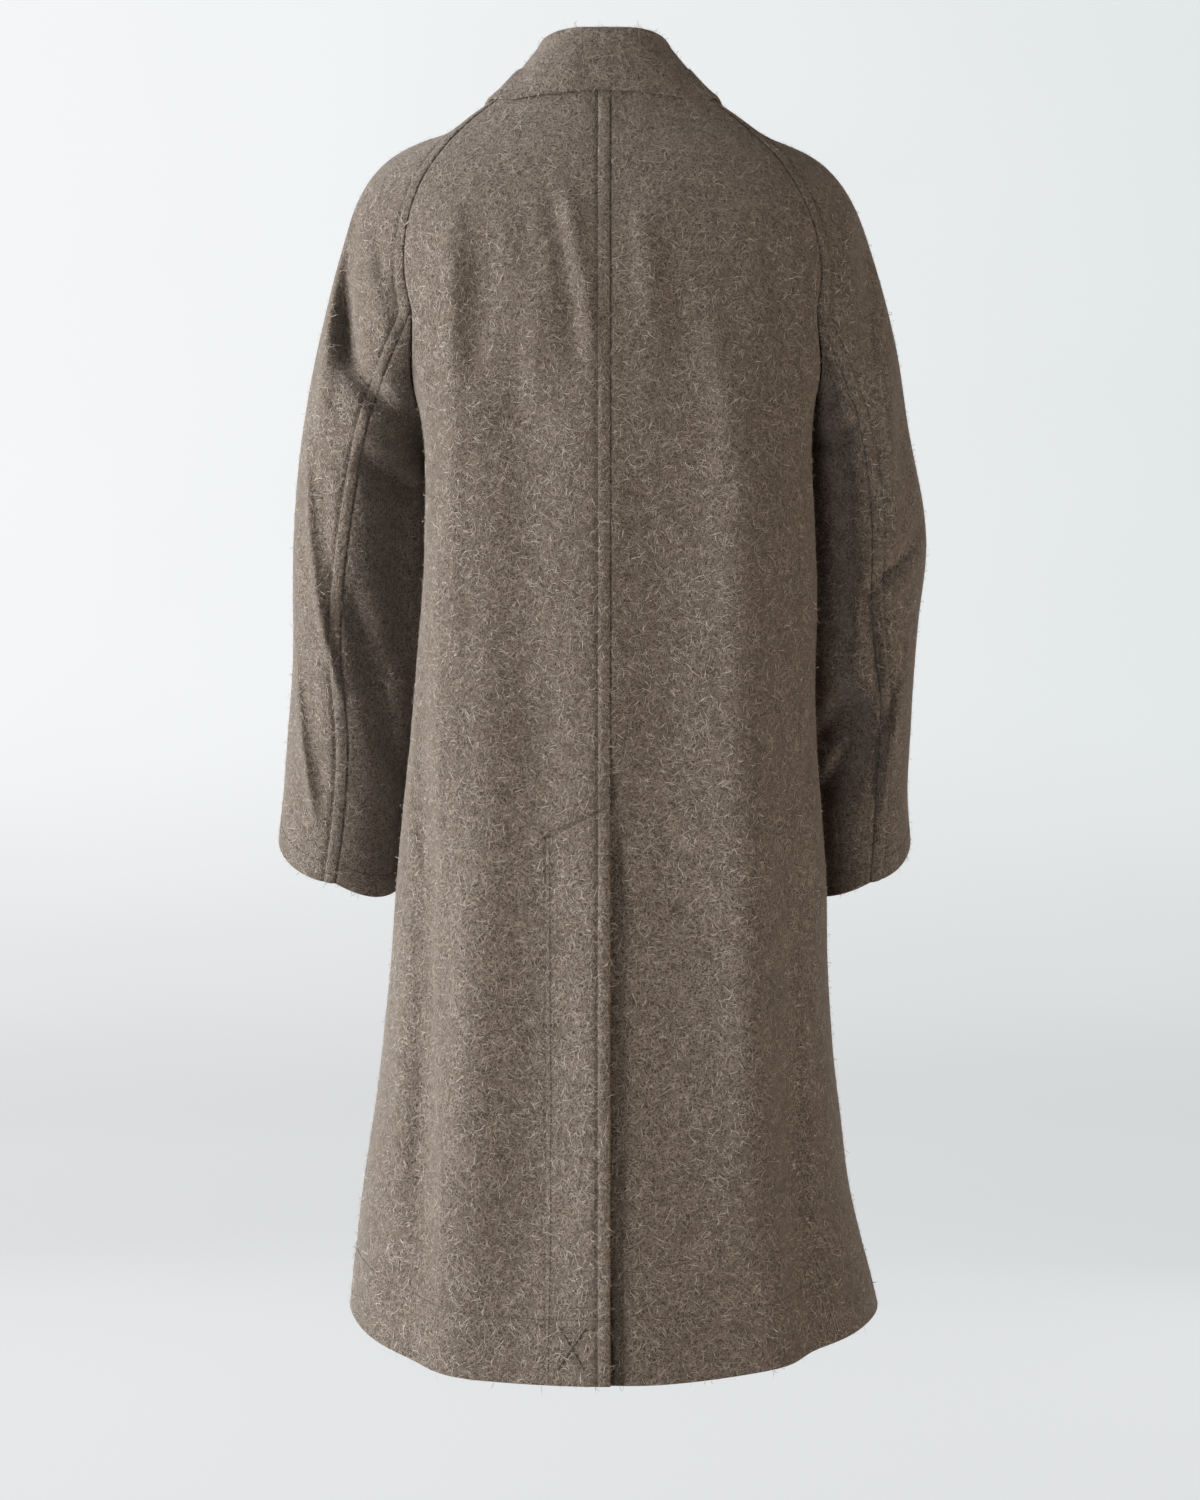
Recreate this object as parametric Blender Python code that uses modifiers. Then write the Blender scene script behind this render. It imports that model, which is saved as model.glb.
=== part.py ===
"""A worn double-breasted overcoat with raglan sleeves, in metres, +Z up, front towards -Y, wearer's left at +X.

The origin is at the base of the neck. Every cloth piece is a wall: its outer points come from the rings of the
body, the sections of the sleeves or the folded section of the collar, and its inner points lie one thickness
of cloth inside them.
"""

import math
from collections import namedtuple

import bpy
import numpy as np
from mathutils import Vector
from mathutils.bvhtree import BVHTree

# Cloth and sewing
CLOTH = 0.0025
COLLAR_CLOTH = 0.003
LAPEL_CLOTH = 0.0036
SEAM_GAP = 0.0003

# Closing, centre back and vent
FRONT_OVERLAP = 0.085
BREAK_Z = -0.270
ROLL_TOP_X = 0.066
ROLL_TOP_Z = -0.018
LAP_INSET = 0.0034
LAPEL_INSET = 0.0090
CENTRE_BACK_X = -0.005
VENT_TOP_Z = -0.628
VENT_SLANT = 0.027
VENT_UNDERLAP = 0.052
VENT_INSET = 0.0042

# Heights of the body
ARMPIT_Z = -0.300
HEM_Z = -1.108
HEM_RISE_SIDE = 0.034
HEM_CURVE_LEFT = 3.8
HEM_CURVE_RIGHT = 2.2
HEM_RISE_FRONT = 0.014
ARM_REACH = 0.070

# How finely the walls are divided
RAGLAN_STEPS = 8
ARMHOLE_STEPS = 4
VENT_STEPS = 6
SKIRT_STEPS = 8
TUBE_STEPS = 12
BODY_COLUMNS = 11
ARCH_COLUMNS = 6
LAPEL_ROWS = 9
LAPEL_COLUMNS = 6
COLLAR_HALF_COLUMNS = 14

# Rings of the body: half widths, depths, squareness and the dent that the arms press into the sides
TorsoRow = namedtuple("TorsoRow", "z half_left half_right back front square_back square_front "
                                  "press_left press_right arm_y")
TORSO = (
    TorsoRow(0.015, 0.083, 0.083, 0.074, 0.046, 2.0, 2.0, 0.00, 0.00, 0.000),
    TorsoRow(-0.030, 0.148, 0.150, 0.093, 0.076, 2.1, 2.2, 0.00, 0.00, 0.000),
    TorsoRow(-0.080, 0.190, 0.197, 0.116, 0.106, 2.4, 2.4, 0.00, 0.00, 0.000),
    TorsoRow(-0.130, 0.205, 0.218, 0.134, 0.129, 2.4, 2.5, 0.00, 0.00, 0.000),
    TorsoRow(-0.200, 0.196, 0.215, 0.148, 0.151, 2.5, 2.5, 0.01, 0.02, 0.000),
    TorsoRow(-0.300, 0.175, 0.207, 0.155, 0.164, 2.7, 2.6, 0.16, 0.26, 0.000),
    TorsoRow(-0.420, 0.171, 0.207, 0.158, 0.167, 2.8, 2.6, 0.15, 0.26, -0.002),
    TorsoRow(-0.560, 0.175, 0.196, 0.165, 0.170, 2.7, 2.6, 0.11, 0.20, -0.026),
    TorsoRow(-0.700, 0.183, 0.198, 0.174, 0.176, 2.5, 2.5, 0.06, 0.15, -0.070),
    TorsoRow(-0.820, 0.191, 0.199, 0.184, 0.184, 2.4, 2.4, 0.00, 0.02, -0.070),
    TorsoRow(-0.900, 0.199, 0.205, 0.191, 0.190, 2.3, 2.3, 0.00, 0.00, -0.070),
    TorsoRow(-1.000, 0.212, 0.216, 0.202, 0.197, 2.2, 2.3, 0.00, 0.00, -0.070),
    TorsoRow(-1.110, 0.223, 0.241, 0.216, 0.206, 2.2, 2.3, 0.00, 0.00, -0.070),
)

# Folds of the body, placed by angle round it: 0 is the centre back, 180 the centre front, left is positive
Fold = namedtuple("Fold", "angle_high angle_low z_high z_full z_low width depth")
FOLDS = (
    Fold(30, 33, -0.45, -0.85, -1.60, 9, 0.006),
    Fold(46, 47, -0.50, -0.90, -1.60, 9, -0.008),
    Fold(-34, -37, -0.50, -0.95, -1.60, 8, 0.009),
    Fold(-47, -47, -0.50, -0.95, -1.60, 8, -0.009),
    Fold(16, 18, -0.60, -1.00, -1.60, 12, -0.006),
    Fold(-14, -16, -0.60, -1.00, -1.60, 11, -0.004),
    Fold(36, 38, -0.10, -0.17, -0.42, 9, 0.005),
    Fold(9, 8, -0.04, -0.20, -0.60, 7, 0.004),
    Fold(-9, -8, -0.04, -0.20, -0.60, 7, 0.004),
    Fold(112, 115, -0.40, -0.90, -1.60, 10, 0.010),
    Fold(132, 134, -0.45, -0.95, -1.60, 10, -0.008),
    Fold(-108, -112, -0.40, -0.90, -1.60, 9, 0.011),
    Fold(-126, -130, -0.45, -0.95, -1.60, 10, -0.009),
)

# Raglan seams and the shoulder's crown, from the neck to where the under sleeve begins
RaglanRow = namedtuple("RaglanRow", "along back_z back_left back_right front_z front_x crown_left crown_right")
RAGLAN = (
    RaglanRow(0.00, 0.004, 0.072, 0.071, -0.019, 0.078, (0.081, 0.000, -0.007), (0.079, 0.000, -0.008)),
    RaglanRow(0.12, -0.017, 0.091, 0.090, -0.031, 0.093, (0.097, 0.000, -0.027), (0.095, 0.000, -0.029)),
    RaglanRow(0.24, -0.038, 0.117, 0.117, -0.045, 0.108, (0.119, 0.000, -0.040), (0.116, 0.000, -0.046)),
    RaglanRow(0.39, -0.070, 0.145, 0.149, -0.075, 0.130, (0.156, 0.000, -0.048), (0.155, 0.000, -0.052)),
    RaglanRow(0.55, -0.104, 0.163, 0.170, -0.112, 0.145, (0.192, 0.000, -0.068), (0.190, 0.000, -0.069)),
    RaglanRow(0.70, -0.138, 0.171, 0.183, -0.150, 0.153, (0.216, 0.000, -0.101), (0.216, 0.000, -0.101)),
    RaglanRow(0.85, -0.172, 0.172, 0.187, -0.182, 0.157, (0.232, 0.001, -0.152), (0.236, 0.001, -0.152)),
    RaglanRow(1.00, -0.204, 0.166, 0.184, -0.210, 0.157, (0.249, 0.002, -0.218), (0.253, 0.002, -0.218)),
)

# Sections of the sleeves below the armhole; x is measured out from the centre of the body
SleeveRow = namedtuple("SleeveRow", "along crown back front inner")
SLEEVES = {
    "left": (
        SleeveRow(0.18, crown=(0.264, 0.002, -0.300), back=(0.199, 0.084, -0.285),
                  front=(0.203, -0.082, -0.285), inner=(0.157, 0.000, -0.325)),
        SleeveRow(0.36, crown=(0.272, 0.000, -0.385), back=(0.218, 0.078, -0.382),
                  front=(0.214, -0.080, -0.372), inner=(0.153, -0.002, -0.400)),
        SleeveRow(0.55, crown=(0.273, -0.006, -0.478), back=(0.228, 0.068, -0.486),
                  front=(0.220, -0.080, -0.452), inner=(0.155, -0.008, -0.478)),
        SleeveRow(0.71, crown=(0.279, -0.024, -0.553), back=(0.223, 0.046, -0.573),
                  front=(0.226, -0.094, -0.520), inner=(0.167, -0.028, -0.560)),
        SleeveRow(0.86, crown=(0.284, -0.045, -0.612), back=(0.228, 0.021, -0.643),
                  front=(0.230, -0.112, -0.572), inner=(0.174, -0.050, -0.628)),
        SleeveRow(1.00, crown=(0.291, -0.064, -0.659), back=(0.237, -0.002, -0.699),
                  front=(0.236, -0.130, -0.628), inner=(0.181, -0.070, -0.696)),
    ),
    "right": (
        SleeveRow(0.18, crown=(0.267, 0.002, -0.300), back=(0.219, 0.084, -0.298),
                  front=(0.210, -0.082, -0.285), inner=(0.166, 0.000, -0.325)),
        SleeveRow(0.36, crown=(0.282, 0.000, -0.392), back=(0.231, 0.078, -0.380),
                  front=(0.218, -0.080, -0.372), inner=(0.162, -0.002, -0.400)),
        SleeveRow(0.55, crown=(0.275, -0.006, -0.474), back=(0.232, 0.068, -0.462),
                  front=(0.218, -0.080, -0.452), inner=(0.162, -0.008, -0.478)),
        SleeveRow(0.71, crown=(0.270, -0.024, -0.550), back=(0.241, 0.046, -0.545),
                  front=(0.222, -0.094, -0.520), inner=(0.165, -0.028, -0.560)),
        SleeveRow(0.86, crown=(0.268, -0.045, -0.610), back=(0.239, 0.021, -0.622),
                  front=(0.222, -0.112, -0.572), inner=(0.168, -0.050, -0.628)),
        SleeveRow(1.00, crown=(0.273, -0.064, -0.655), back=(0.235, -0.002, -0.698),
                  front=(0.224, -0.130, -0.628), inner=(0.170, -0.070, -0.696)),
    ),
}

# Left half of the collar from the centre back to the gorge: lower edge of the stand, fold and edge of the fall
CollarRow = namedtuple("CollarRow", "along seam fold edge")
COLLAR = (
    CollarRow(0.00, (0.000, 0.0680, 0.002), (0.000, 0.0720, 0.0425), (0.000, 0.0960, -0.0150)),
    CollarRow(0.20, (0.028, 0.0630, 0.002), (0.029, 0.0680, 0.0420), (0.044, 0.0920, -0.0170)),
    CollarRow(0.40, (0.051, 0.0460, 0.001), (0.048, 0.0480, 0.0390), (0.081, 0.0770, -0.0205)),
    CollarRow(0.60, (0.066, 0.0180, -0.003), (0.056, 0.0190, 0.0325), (0.103, 0.0420, -0.0260)),
    CollarRow(0.75, (0.068, -0.0100, -0.009), (0.059, -0.0100, 0.0235), (0.109, -0.0050, -0.0250)),
    CollarRow(0.88, (0.066, -0.0330, -0.016), (0.0625, -0.0390, 0.0085), (0.118, -0.0560, -0.0330)),
    CollarRow(1.00, (0.0615, -0.0510, -0.022), (0.0635, -0.0625, -0.0105), (0.118, -0.0870, -0.0600)),
)
COLLAR_ROLL = 0.0044
COLLAR_BOW = 0.01
COLLAR_CLEARANCE = 0.0028
COLLAR_STAND_POINTS = 3
COLLAR_ROLL_POINTS = 4
COLLAR_FALL_POINTS = 7

# Outline of the lapel over the chest, as distance from the centre and height
LAPEL_TOP = (0.0672, -0.0225)
LAPEL_NOTCH = (0.0985, -0.0485)
LAPEL_POINT = (0.129, -0.108)
LAPEL_BELLY = 0.016
LAPEL_CLEARANCE = 0.0012

# Buttons
BUTTON_COLUMN_X = 0.062
BUTTON_ROWS_Z = (-0.325, -0.450, -0.575)
BUTTON_RADIUS = 0.014
BUTTON_HEIGHT = 0.005
BUTTON_CLEARANCE = 0.0005
BUTTON_STEPS = 18


# Reading the tables

def smooth(low, high, at):
    """0 where at is at low, 1 where it is at high, eased between."""
    t = np.clip((np.asarray(at, float) - low) / (high - low), 0.0, 1.0)
    return t * t * (3.0 - 2.0 * t)


def spline(keys, values, at):
    """Smooth values between rows, from slopes that follow the neighbouring rows."""
    keys = np.asarray(keys, float)
    values = np.asarray(values, float).reshape(len(keys), -1)
    if keys[0] > keys[-1]:
        keys = keys[::-1]
        values = values[::-1]
    slopes = np.gradient(values, keys, axis=0)
    at = np.clip(np.asarray(at, float), keys[0], keys[-1])
    low = np.clip(np.searchsorted(keys, at) - 1, 0, len(keys) - 2)
    span = (keys[low + 1] - keys[low])[..., None]
    t = ((at - keys[low])[..., None]) / span
    result = ((1 + 2 * t) * (1 - t) ** 2 * values[low] + t * (1 - t) ** 2 * span * slopes[low]
              + t * t * (3 - 2 * t) * values[low + 1] + t * t * (t - 1) * span * slopes[low + 1])
    return result[..., 0] if values.shape[1] == 1 else result


def column(rows, key, name, at):
    """One named column of a table, read at values of its key column."""
    return spline([getattr(row, key) for row in rows], [getattr(row, name) for row in rows], at)


def unit(vectors):
    lengths = np.linalg.norm(vectors, axis=-1, keepdims=True)
    return vectors / np.maximum(lengths, 1e-12)


# The body's surface

def ring(angle, z):
    """A point of the body's rings before its folds: x and y at an angle from the centre back."""
    turn = (angle + 180.0) % 360.0 - 180.0
    is_left = turn >= 0.0
    is_back = np.abs(turn) <= 90.0
    half = np.where(is_left, column(TORSO, "z", "half_left", z), column(TORSO, "z", "half_right", z))
    depth = np.where(is_back, column(TORSO, "z", "back", z), -column(TORSO, "z", "front", z))
    square = np.where(is_back, column(TORSO, "z", "square_back", z), column(TORSO, "z", "square_front", z))
    bend = np.radians(np.abs(turn))
    x = half * np.abs(np.sin(bend)) ** (2.0 / square)
    y = depth * np.abs(np.cos(bend)) ** (2.0 / square)
    press = np.where(is_left, column(TORSO, "z", "press_left", z), column(TORSO, "z", "press_right", z))
    x = x * (1.0 - press * np.exp(-((y - column(TORSO, "z", "arm_y", z)) / ARM_REACH) ** 2))
    return np.where(is_left, x, -x), y


def fold_depth(angle, z):
    """How far the folds stand out of the rings."""
    turn = (angle + 180.0) % 360.0 - 180.0
    total = np.zeros_like(turn)
    for fold in FOLDS:
        centre = fold.angle_high + (fold.angle_low - fold.angle_high) * smooth(fold.z_high, fold.z_full, z)
        fade = smooth(fold.z_high, fold.z_full, z) * (1.0 - smooth(fold.z_full, fold.z_low, z))
        total = total + fold.depth * fade * np.exp(-((turn - centre) / fold.width) ** 2)
    return total


def hem_rise(angle, z):
    """How much higher the hem hangs at the sides and the front than at the centre back."""
    bend = np.radians(angle)
    curve = np.where(np.sin(bend) >= 0.0, HEM_CURVE_LEFT, HEM_CURVE_RIGHT)
    rise = HEM_RISE_SIDE * np.abs(np.sin(bend)) ** curve + HEM_RISE_FRONT * (1.0 - np.cos(bend)) / 2.0
    return rise * smooth(-0.70, HEM_Z, z)


def torso(angle, z, inset=0.0):
    """A point on the outside of the body, moved in where it passes under another panel."""
    angle, z = np.broadcast_arrays(np.asarray(angle, float), np.asarray(z, float))
    x, y = ring(angle, z)
    x_before, y_before = ring(angle - 1.5, z)
    x_after, y_after = ring(angle + 1.5, z)
    out = unit(np.stack([y_before - y_after, x_after - x_before], axis=-1))
    move = fold_depth(angle, z) - inset
    return np.stack([x + out[..., 0] * move, y + out[..., 1] * move, z + hem_rise(angle, z)], axis=-1)


def angle_at(x, z, is_back):
    """The angle of the ring at height z where it reaches x."""
    half = np.where(x >= 0.0, column(TORSO, "z", "half_left", z), column(TORSO, "z", "half_right", z))
    square = column(TORSO, "z", "square_back" if is_back else "square_front", z)
    bend = np.degrees(np.arcsin(np.clip(np.abs(x) / half, 0.0, 1.0) ** (square / 2.0)))
    return np.sign(x) * (bend if is_back else 180.0 - bend)


def even_angles(start, end, z, count):
    """Angles that divide a row of a panel into equal lengths."""
    dense = np.linspace(start, end, 160)
    points = torso(dense, np.full_like(dense, z))
    length = np.concatenate([[0.0], np.cumsum(np.linalg.norm(np.diff(points, axis=0), axis=1))])
    return np.interp(np.linspace(0.0, length[-1], count + 1), length, dense)


# Seams

def raglan_edge(side, place):
    """Heights and angles of a raglan seam from the neck, round the armhole to the armpit."""
    sign = 1.0 if side == "left" else -1.0
    along = np.linspace(0.0, 1.0, RAGLAN_STEPS + 1)
    z = column(RAGLAN, "along", place + "_z", along)
    x = column(RAGLAN, "along", "back_" + side if place == "back" else "front_x", along)
    angle = angle_at(sign * x, z, place == "back")
    sweep = np.linspace(0.0, 1.0, ARMHOLE_STEPS + 1)[1:]
    armhole_z = z[-1] + (ARMPIT_Z - z[-1]) * (1.0 - (1.0 - sweep) ** 1.35)
    armhole_angle = angle[-1] + (sign * 90.0 - angle[-1]) * sweep ** 1.5
    return np.concatenate([z, armhole_z]), np.concatenate([angle, armhole_angle])


def skirt_heights():
    """Heights of the rows below the armpit, with one at each end of the vent's slanted top."""
    upper = np.linspace(ARMPIT_Z, VENT_TOP_Z, VENT_STEPS + 1)[1:]
    lower = np.linspace(VENT_TOP_Z - VENT_SLANT, HEM_Z, SKIRT_STEPS + 1)
    return np.concatenate([upper, lower])


def roll_x(z):
    """Distance from the centre of the roll line, which becomes the front edge below the break."""
    along = np.clip((ROLL_TOP_Z - z) / (ROLL_TOP_Z - BREAK_Z), 0.0, 1.0)
    return ROLL_TOP_X + (-FRONT_OVERLAP - ROLL_TOP_X) * along


# Body panels

def panel_rows(side, place):
    """Heights of a body panel's rows and the angle of its seam edge in each."""
    sign = 1.0 if side == "left" else -1.0
    z, seam = raglan_edge(side, place)
    skirt = skirt_heights()
    return np.concatenate([z, skirt]), np.concatenate([seam, np.full_like(skirt, sign * 90.0)])


def under_front_inset(x, z):
    """How deep the right front and its lapel lie under the left front."""
    edge = roll_x(z)
    depth = LAP_INSET + (LAPEL_INSET - LAP_INSET) * smooth(-0.34, -0.26, z)
    return depth * smooth(edge - 0.055, edge - 0.008, x)


def under_back_inset(x, z):
    """How deep the right back lies under the left back along the vent."""
    near_edge = smooth(-0.045, CENTRE_BACK_X - 0.003, x)
    below_top = smooth(VENT_TOP_Z + 0.06, VENT_TOP_Z + 0.004, z)
    return VENT_INSET * near_edge * below_top


def back_panel(side):
    rows = []
    for z, seam in zip(*panel_rows(side, "back")):
        if side == "left":
            angles = even_angles(float(angle_at(CENTRE_BACK_X, z, True)), seam, z, BODY_COLUMNS)
            rows.append(torso(angles, z))
        else:
            underlap = VENT_UNDERLAP * np.clip((VENT_TOP_Z - z) / VENT_SLANT, 0.0, 1.0)
            angles = even_angles(seam, float(angle_at(CENTRE_BACK_X + underlap, z, True)), z, BODY_COLUMNS)
            rows.append(torso(angles, z, under_back_inset(ring(angles, z)[0], z)))
    return np.array(rows)


def front_angle(side, z):
    """Angle of the front edge of a front panel, which passes the centre below the lapels."""
    x = roll_x(z) if side == "left" else -roll_x(z)
    angle = float(angle_at(x, z, False))
    if side == "left":
        return angle % 360.0 if x != 0.0 else 180.0
    return -((-angle) % 360.0) if x != 0.0 else -180.0


def front_panel(side):
    rows = []
    for z, seam in zip(*panel_rows(side, "front")):
        if side == "left":
            angles = even_angles(seam, front_angle(side, z), z, BODY_COLUMNS)
            rows.append(torso(angles, z))
        else:
            angles = even_angles(front_angle(side, z), seam, z, BODY_COLUMNS)
            rows.append(torso(angles, z, under_front_inset(ring(angles, z)[0], z)))
    return np.array(rows)


# Sleeves

QUARTER = 0.5523
SEAM_HANDLE = 0.24
NECK_HANDLE = 0.04


def bezier(start, start_handle, end_handle, end, count):
    t = np.linspace(0.0, 1.0, count + 1)[:, None]
    return ((1 - t) ** 3 * start + 3 * t * (1 - t) ** 2 * start_handle
            + 3 * t * t * (1 - t) * end_handle + t ** 3 * end)


def torso_normal(angle, z):
    """Direction out of the body's surface."""
    turned = torso(angle + 1.0, z) - torso(angle - 1.0, z)
    lowered = torso(angle, z - 0.004) - torso(angle, z + 0.004)
    return unit(np.cross(turned, lowered))


def arch(back, crown, front, back_handle, front_handle):
    """A section of the upper sleeve: from the back edge over the crown to the front edge."""
    across = unit(front - back)
    behind = crown - across * QUARTER * np.dot(crown - back, across)
    ahead = crown + across * QUARTER * np.dot(front - crown, across)
    rear = bezier(back, back + back_handle, behind, crown, ARCH_COLUMNS)
    fore = bezier(crown, ahead, front + front_handle, front, ARCH_COLUMNS)
    return np.concatenate([rear, fore[1:]])


def seam_handle(edge, crown, normal, step):
    """A handle that leaves the raglan seam along the body's surface towards the crown, short near the neck."""
    towards = crown - edge
    along = unit(towards - normal * np.dot(towards, normal))
    share = NECK_HANDLE + (SEAM_HANDLE - NECK_HANDLE) * smooth(0.0, 0.5 * RAGLAN_STEPS, step)
    return along * np.linalg.norm(towards) * share


def mirrored(side, vectors):
    return np.asarray(vectors, float) * np.array([1.0 if side == "left" else -1.0, 1.0, 1.0])


def armhole(side):
    """Points round the lower armhole from the back seam by the armpit to the front seam."""
    back_z, back_angle = raglan_edge(side, "back")
    front_z, front_angle_ = raglan_edge(side, "front")
    back = torso(back_angle, back_z)[RAGLAN_STEPS:]
    front = torso(front_angle_, front_z)[RAGLAN_STEPS:]
    return np.concatenate([back, front[::-1][1:]])


def sleeve_sections(side):
    """Crown, back, front and inner points of the sleeve in each row below the armhole."""
    rim = armhole(side)
    crowns = [mirrored(side, getattr(row, "crown_" + side)) for row in RAGLAN]
    keys = [row.along - 1.0 for row in RAGLAN] + [1.6 * row.along for row in SLEEVES[side]]
    crowns += [mirrored(side, row.crown) for row in SLEEVES[side]]
    along = np.linspace(0.0, 1.0, TUBE_STEPS + 1)
    stations = [0.0] + [row.along for row in SLEEVES[side]]
    backs = [rim[0]] + [mirrored(side, row.back) for row in SLEEVES[side]]
    fronts = [rim[-1]] + [mirrored(side, row.front) for row in SLEEVES[side]]
    inners = [rim[ARMHOLE_STEPS]] + [mirrored(side, row.inner) for row in SLEEVES[side]]
    back = spline(stations, backs, along)
    front = spline(stations, fronts, along)
    inner = spline(stations, inners, along)
    upper = spline(keys, crowns, np.linspace(-1.0, 0.0, RAGLAN_STEPS + 1))
    lower = spline(keys, crowns, 1.6 * along)
    return along, upper, lower, back, front, inner


def top_sleeve(side):
    along, upper, lower, back, front, inner = sleeve_sections(side)
    back_z, back_angle = raglan_edge(side, "back")
    front_z, front_turn = raglan_edge(side, "front")
    rows = []
    for step in range(RAGLAN_STEPS + 1 + TUBE_STEPS):
        if step <= RAGLAN_STEPS:
            crown = upper[step]
            seam_step = step
            edge_back = torso(back_angle[step], back_z[step])
            edge_front = torso(front_turn[step], front_z[step])
        else:
            crown = lower[step - RAGLAN_STEPS]
            seam_step = RAGLAN_STEPS
            edge_back = back[step - RAGLAN_STEPS]
            edge_front = front[step - RAGLAN_STEPS]
        round_handle = QUARTER * (crown - (edge_back + edge_front) / 2.0)
        follow = 1.0 - smooth(0.65 * RAGLAN_STEPS, RAGLAN_STEPS + 0.25 * TUBE_STEPS, step)
        normal_back = torso_normal(back_angle[seam_step], back_z[seam_step])
        normal_front = torso_normal(front_turn[seam_step], front_z[seam_step])
        handle_back = follow * seam_handle(edge_back, crown, normal_back, step)
        handle_back = handle_back + (1.0 - follow) * round_handle
        handle_front = follow * seam_handle(edge_front, crown, normal_front, step)
        handle_front = handle_front + (1.0 - follow) * round_handle
        section = arch(edge_back, crown, edge_front, handle_back, handle_front)
        rows.append(section if side == "left" else section[::-1])
    return np.array(rows)


def under_sleeve(side):
    along, upper, lower, back, front, inner = sleeve_sections(side)
    rim = armhole(side)
    turn = np.linspace(0.0, math.pi, 2 * ARMHOLE_STEPS + 1)[:, None]
    rows = []
    for step in range(TUBE_STEPS + 1):
        middle = (back[step] + front[step]) / 2.0
        section = middle + (back[step] - middle) * np.cos(turn) + (inner[step] - middle) * np.sin(turn)
        if step == 0:
            start = section
        section = section + (rim - start) * (1.0 - smooth(0.0, 0.34, along[step]))
        rows.append(section[::-1] if side == "left" else section)
    return np.array(rows)


# Collar and lapels

def surface_of(grids):
    """The outer surfaces of several panels as one tree for finding the nearest point."""
    points = []
    faces = []
    for grid in grids:
        count_rows, count_columns = grid.shape[:2]
        index = np.arange(count_rows * count_columns).reshape(count_rows, count_columns) + len(points)
        points += [tuple(point) for point in grid.reshape(-1, 3)]
        for i in range(count_rows - 1):
            for j in range(count_columns - 1):
                faces.append((index[i, j], index[i, j + 1], index[i + 1, j + 1], index[i + 1, j]))
    return BVHTree.FromPolygons(points, [tuple(int(corner) for corner in face) for face in faces])


def resting_on(points, surface, clearance):
    """Points moved out where they would lie closer to a surface than the clearance."""
    moved = []
    for point in points:
        place, normal, face, distance = surface.find_nearest(Vector(point))
        below = (Vector(point) - place).dot(normal) < 0.0 and distance < 2.0 * clearance
        moved.append(np.array(place + normal * clearance) if below or distance < clearance else point)
    return np.array(moved)


def collar(surface):
    """The collar's visible side: up the stand, over the roll and down the fall, from left to right."""
    along = np.linspace(1.0, -1.0, 2 * COLLAR_HALF_COLUMNS + 1)
    to_side = np.stack([np.where(along < 0.0, -1.0, 1.0), np.ones_like(along), np.ones_like(along)], axis=-1)
    seam = column(COLLAR, "along", "seam", np.abs(along)) * to_side
    fold = column(COLLAR, "along", "fold", np.abs(along)) * to_side
    edge = column(COLLAR, "along", "edge", np.abs(along)) * to_side
    sections = []
    for low, top, rim in zip(seam, fold, edge):
        out = unit((rim - top) * np.array([1.0, 1.0, 0.0]))
        centre = top - np.array([0.0, 0.0, COLLAR_ROLL])
        stand_top = centre - out * COLLAR_ROLL
        fall_top = centre + out * COLLAR_ROLL
        rise = np.linspace(0.0, 1.0, COLLAR_STAND_POINTS + 1)[:-1, None]
        stand = low + (stand_top - low) * rise
        turn = np.linspace(math.pi, 0.0, COLLAR_ROLL_POINTS + 1)[:, None]
        roll = centre + COLLAR_ROLL * (out * np.cos(turn) + np.array([0.0, 0.0, 1.0]) * np.sin(turn))
        drop = np.linspace(0.0, 1.0, COLLAR_FALL_POINTS + 1)[1:, None]
        bow = np.linalg.norm(rim - fall_top) * COLLAR_BOW
        fall = fall_top + (rim - fall_top) * drop + (out + [0.0, 0.0, 0.6]) * bow * 4.0 * drop * (1.0 - drop)
        fall = resting_on(fall, surface, COLLAR_CLOTH + COLLAR_CLEARANCE)
        sections.append(np.concatenate([stand, roll, fall]))
    return np.array(sections)


def chest(side, x, z, lift):
    """A point over the chest of one front, moved out from its surface."""
    position = x if side == "left" else -x
    angle = np.array([float(angle_at(at, height, False)) if at != 0.0 else 180.0
                      for at, height in zip(position, z)])
    inset = under_front_inset(position, z) if side == "right" else 0.0
    return torso(angle, z, inset) + torso_normal(angle, z) * lift


def lapel(side):
    """The turned-back lapel, laid over its own front."""
    lengthwise = np.linspace(0.0, 1.0, LAPEL_ROWS + 1)
    crosswise = np.linspace(0.0, 1.0, LAPEL_COLUMNS + 1)
    lowest = BREAK_Z + 0.012 if side == "left" else -0.205
    roll_z = LAPEL_TOP[1] + (lowest - LAPEL_TOP[1]) * lengthwise
    roll = np.stack([roll_x(roll_z) + 0.001, roll_z], axis=-1)
    if side == "right":
        tucked = -roll_x(roll_z) - 0.014
        roll[:, 0] = np.maximum(roll[:, 0], tucked)
    end = roll[-1] + np.array([0.010, 0.002])
    outer = np.array(LAPEL_POINT) + (end - np.array(LAPEL_POINT)) * lengthwise[:, None]
    outer[:, 0] += LAPEL_BELLY * np.sin(math.pi * lengthwise)
    top = np.array([np.interp(crosswise, (0.0, 0.5, 1.0), (LAPEL_TOP[i], LAPEL_NOTCH[i], LAPEL_POINT[i]))
                    for i in (0, 1)]).T
    top[0] = roll[0]
    straight = top[0] + (top[-1] - top[0]) * crosswise[:, None]
    rows = []
    for step, share in enumerate(lengthwise):
        flat = roll[step] + (outer[step] - roll[step]) * crosswise[:, None]
        flat = flat + (top - straight) * (1.0 - share)
        row = chest(side, flat[:, 0], flat[:, 1], LAPEL_CLEARANCE + LAPEL_CLOTH)
        rows.append(row[::-1] if side == "left" else row)
    return np.array(rows)


# Turning surfaces into walls

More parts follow.
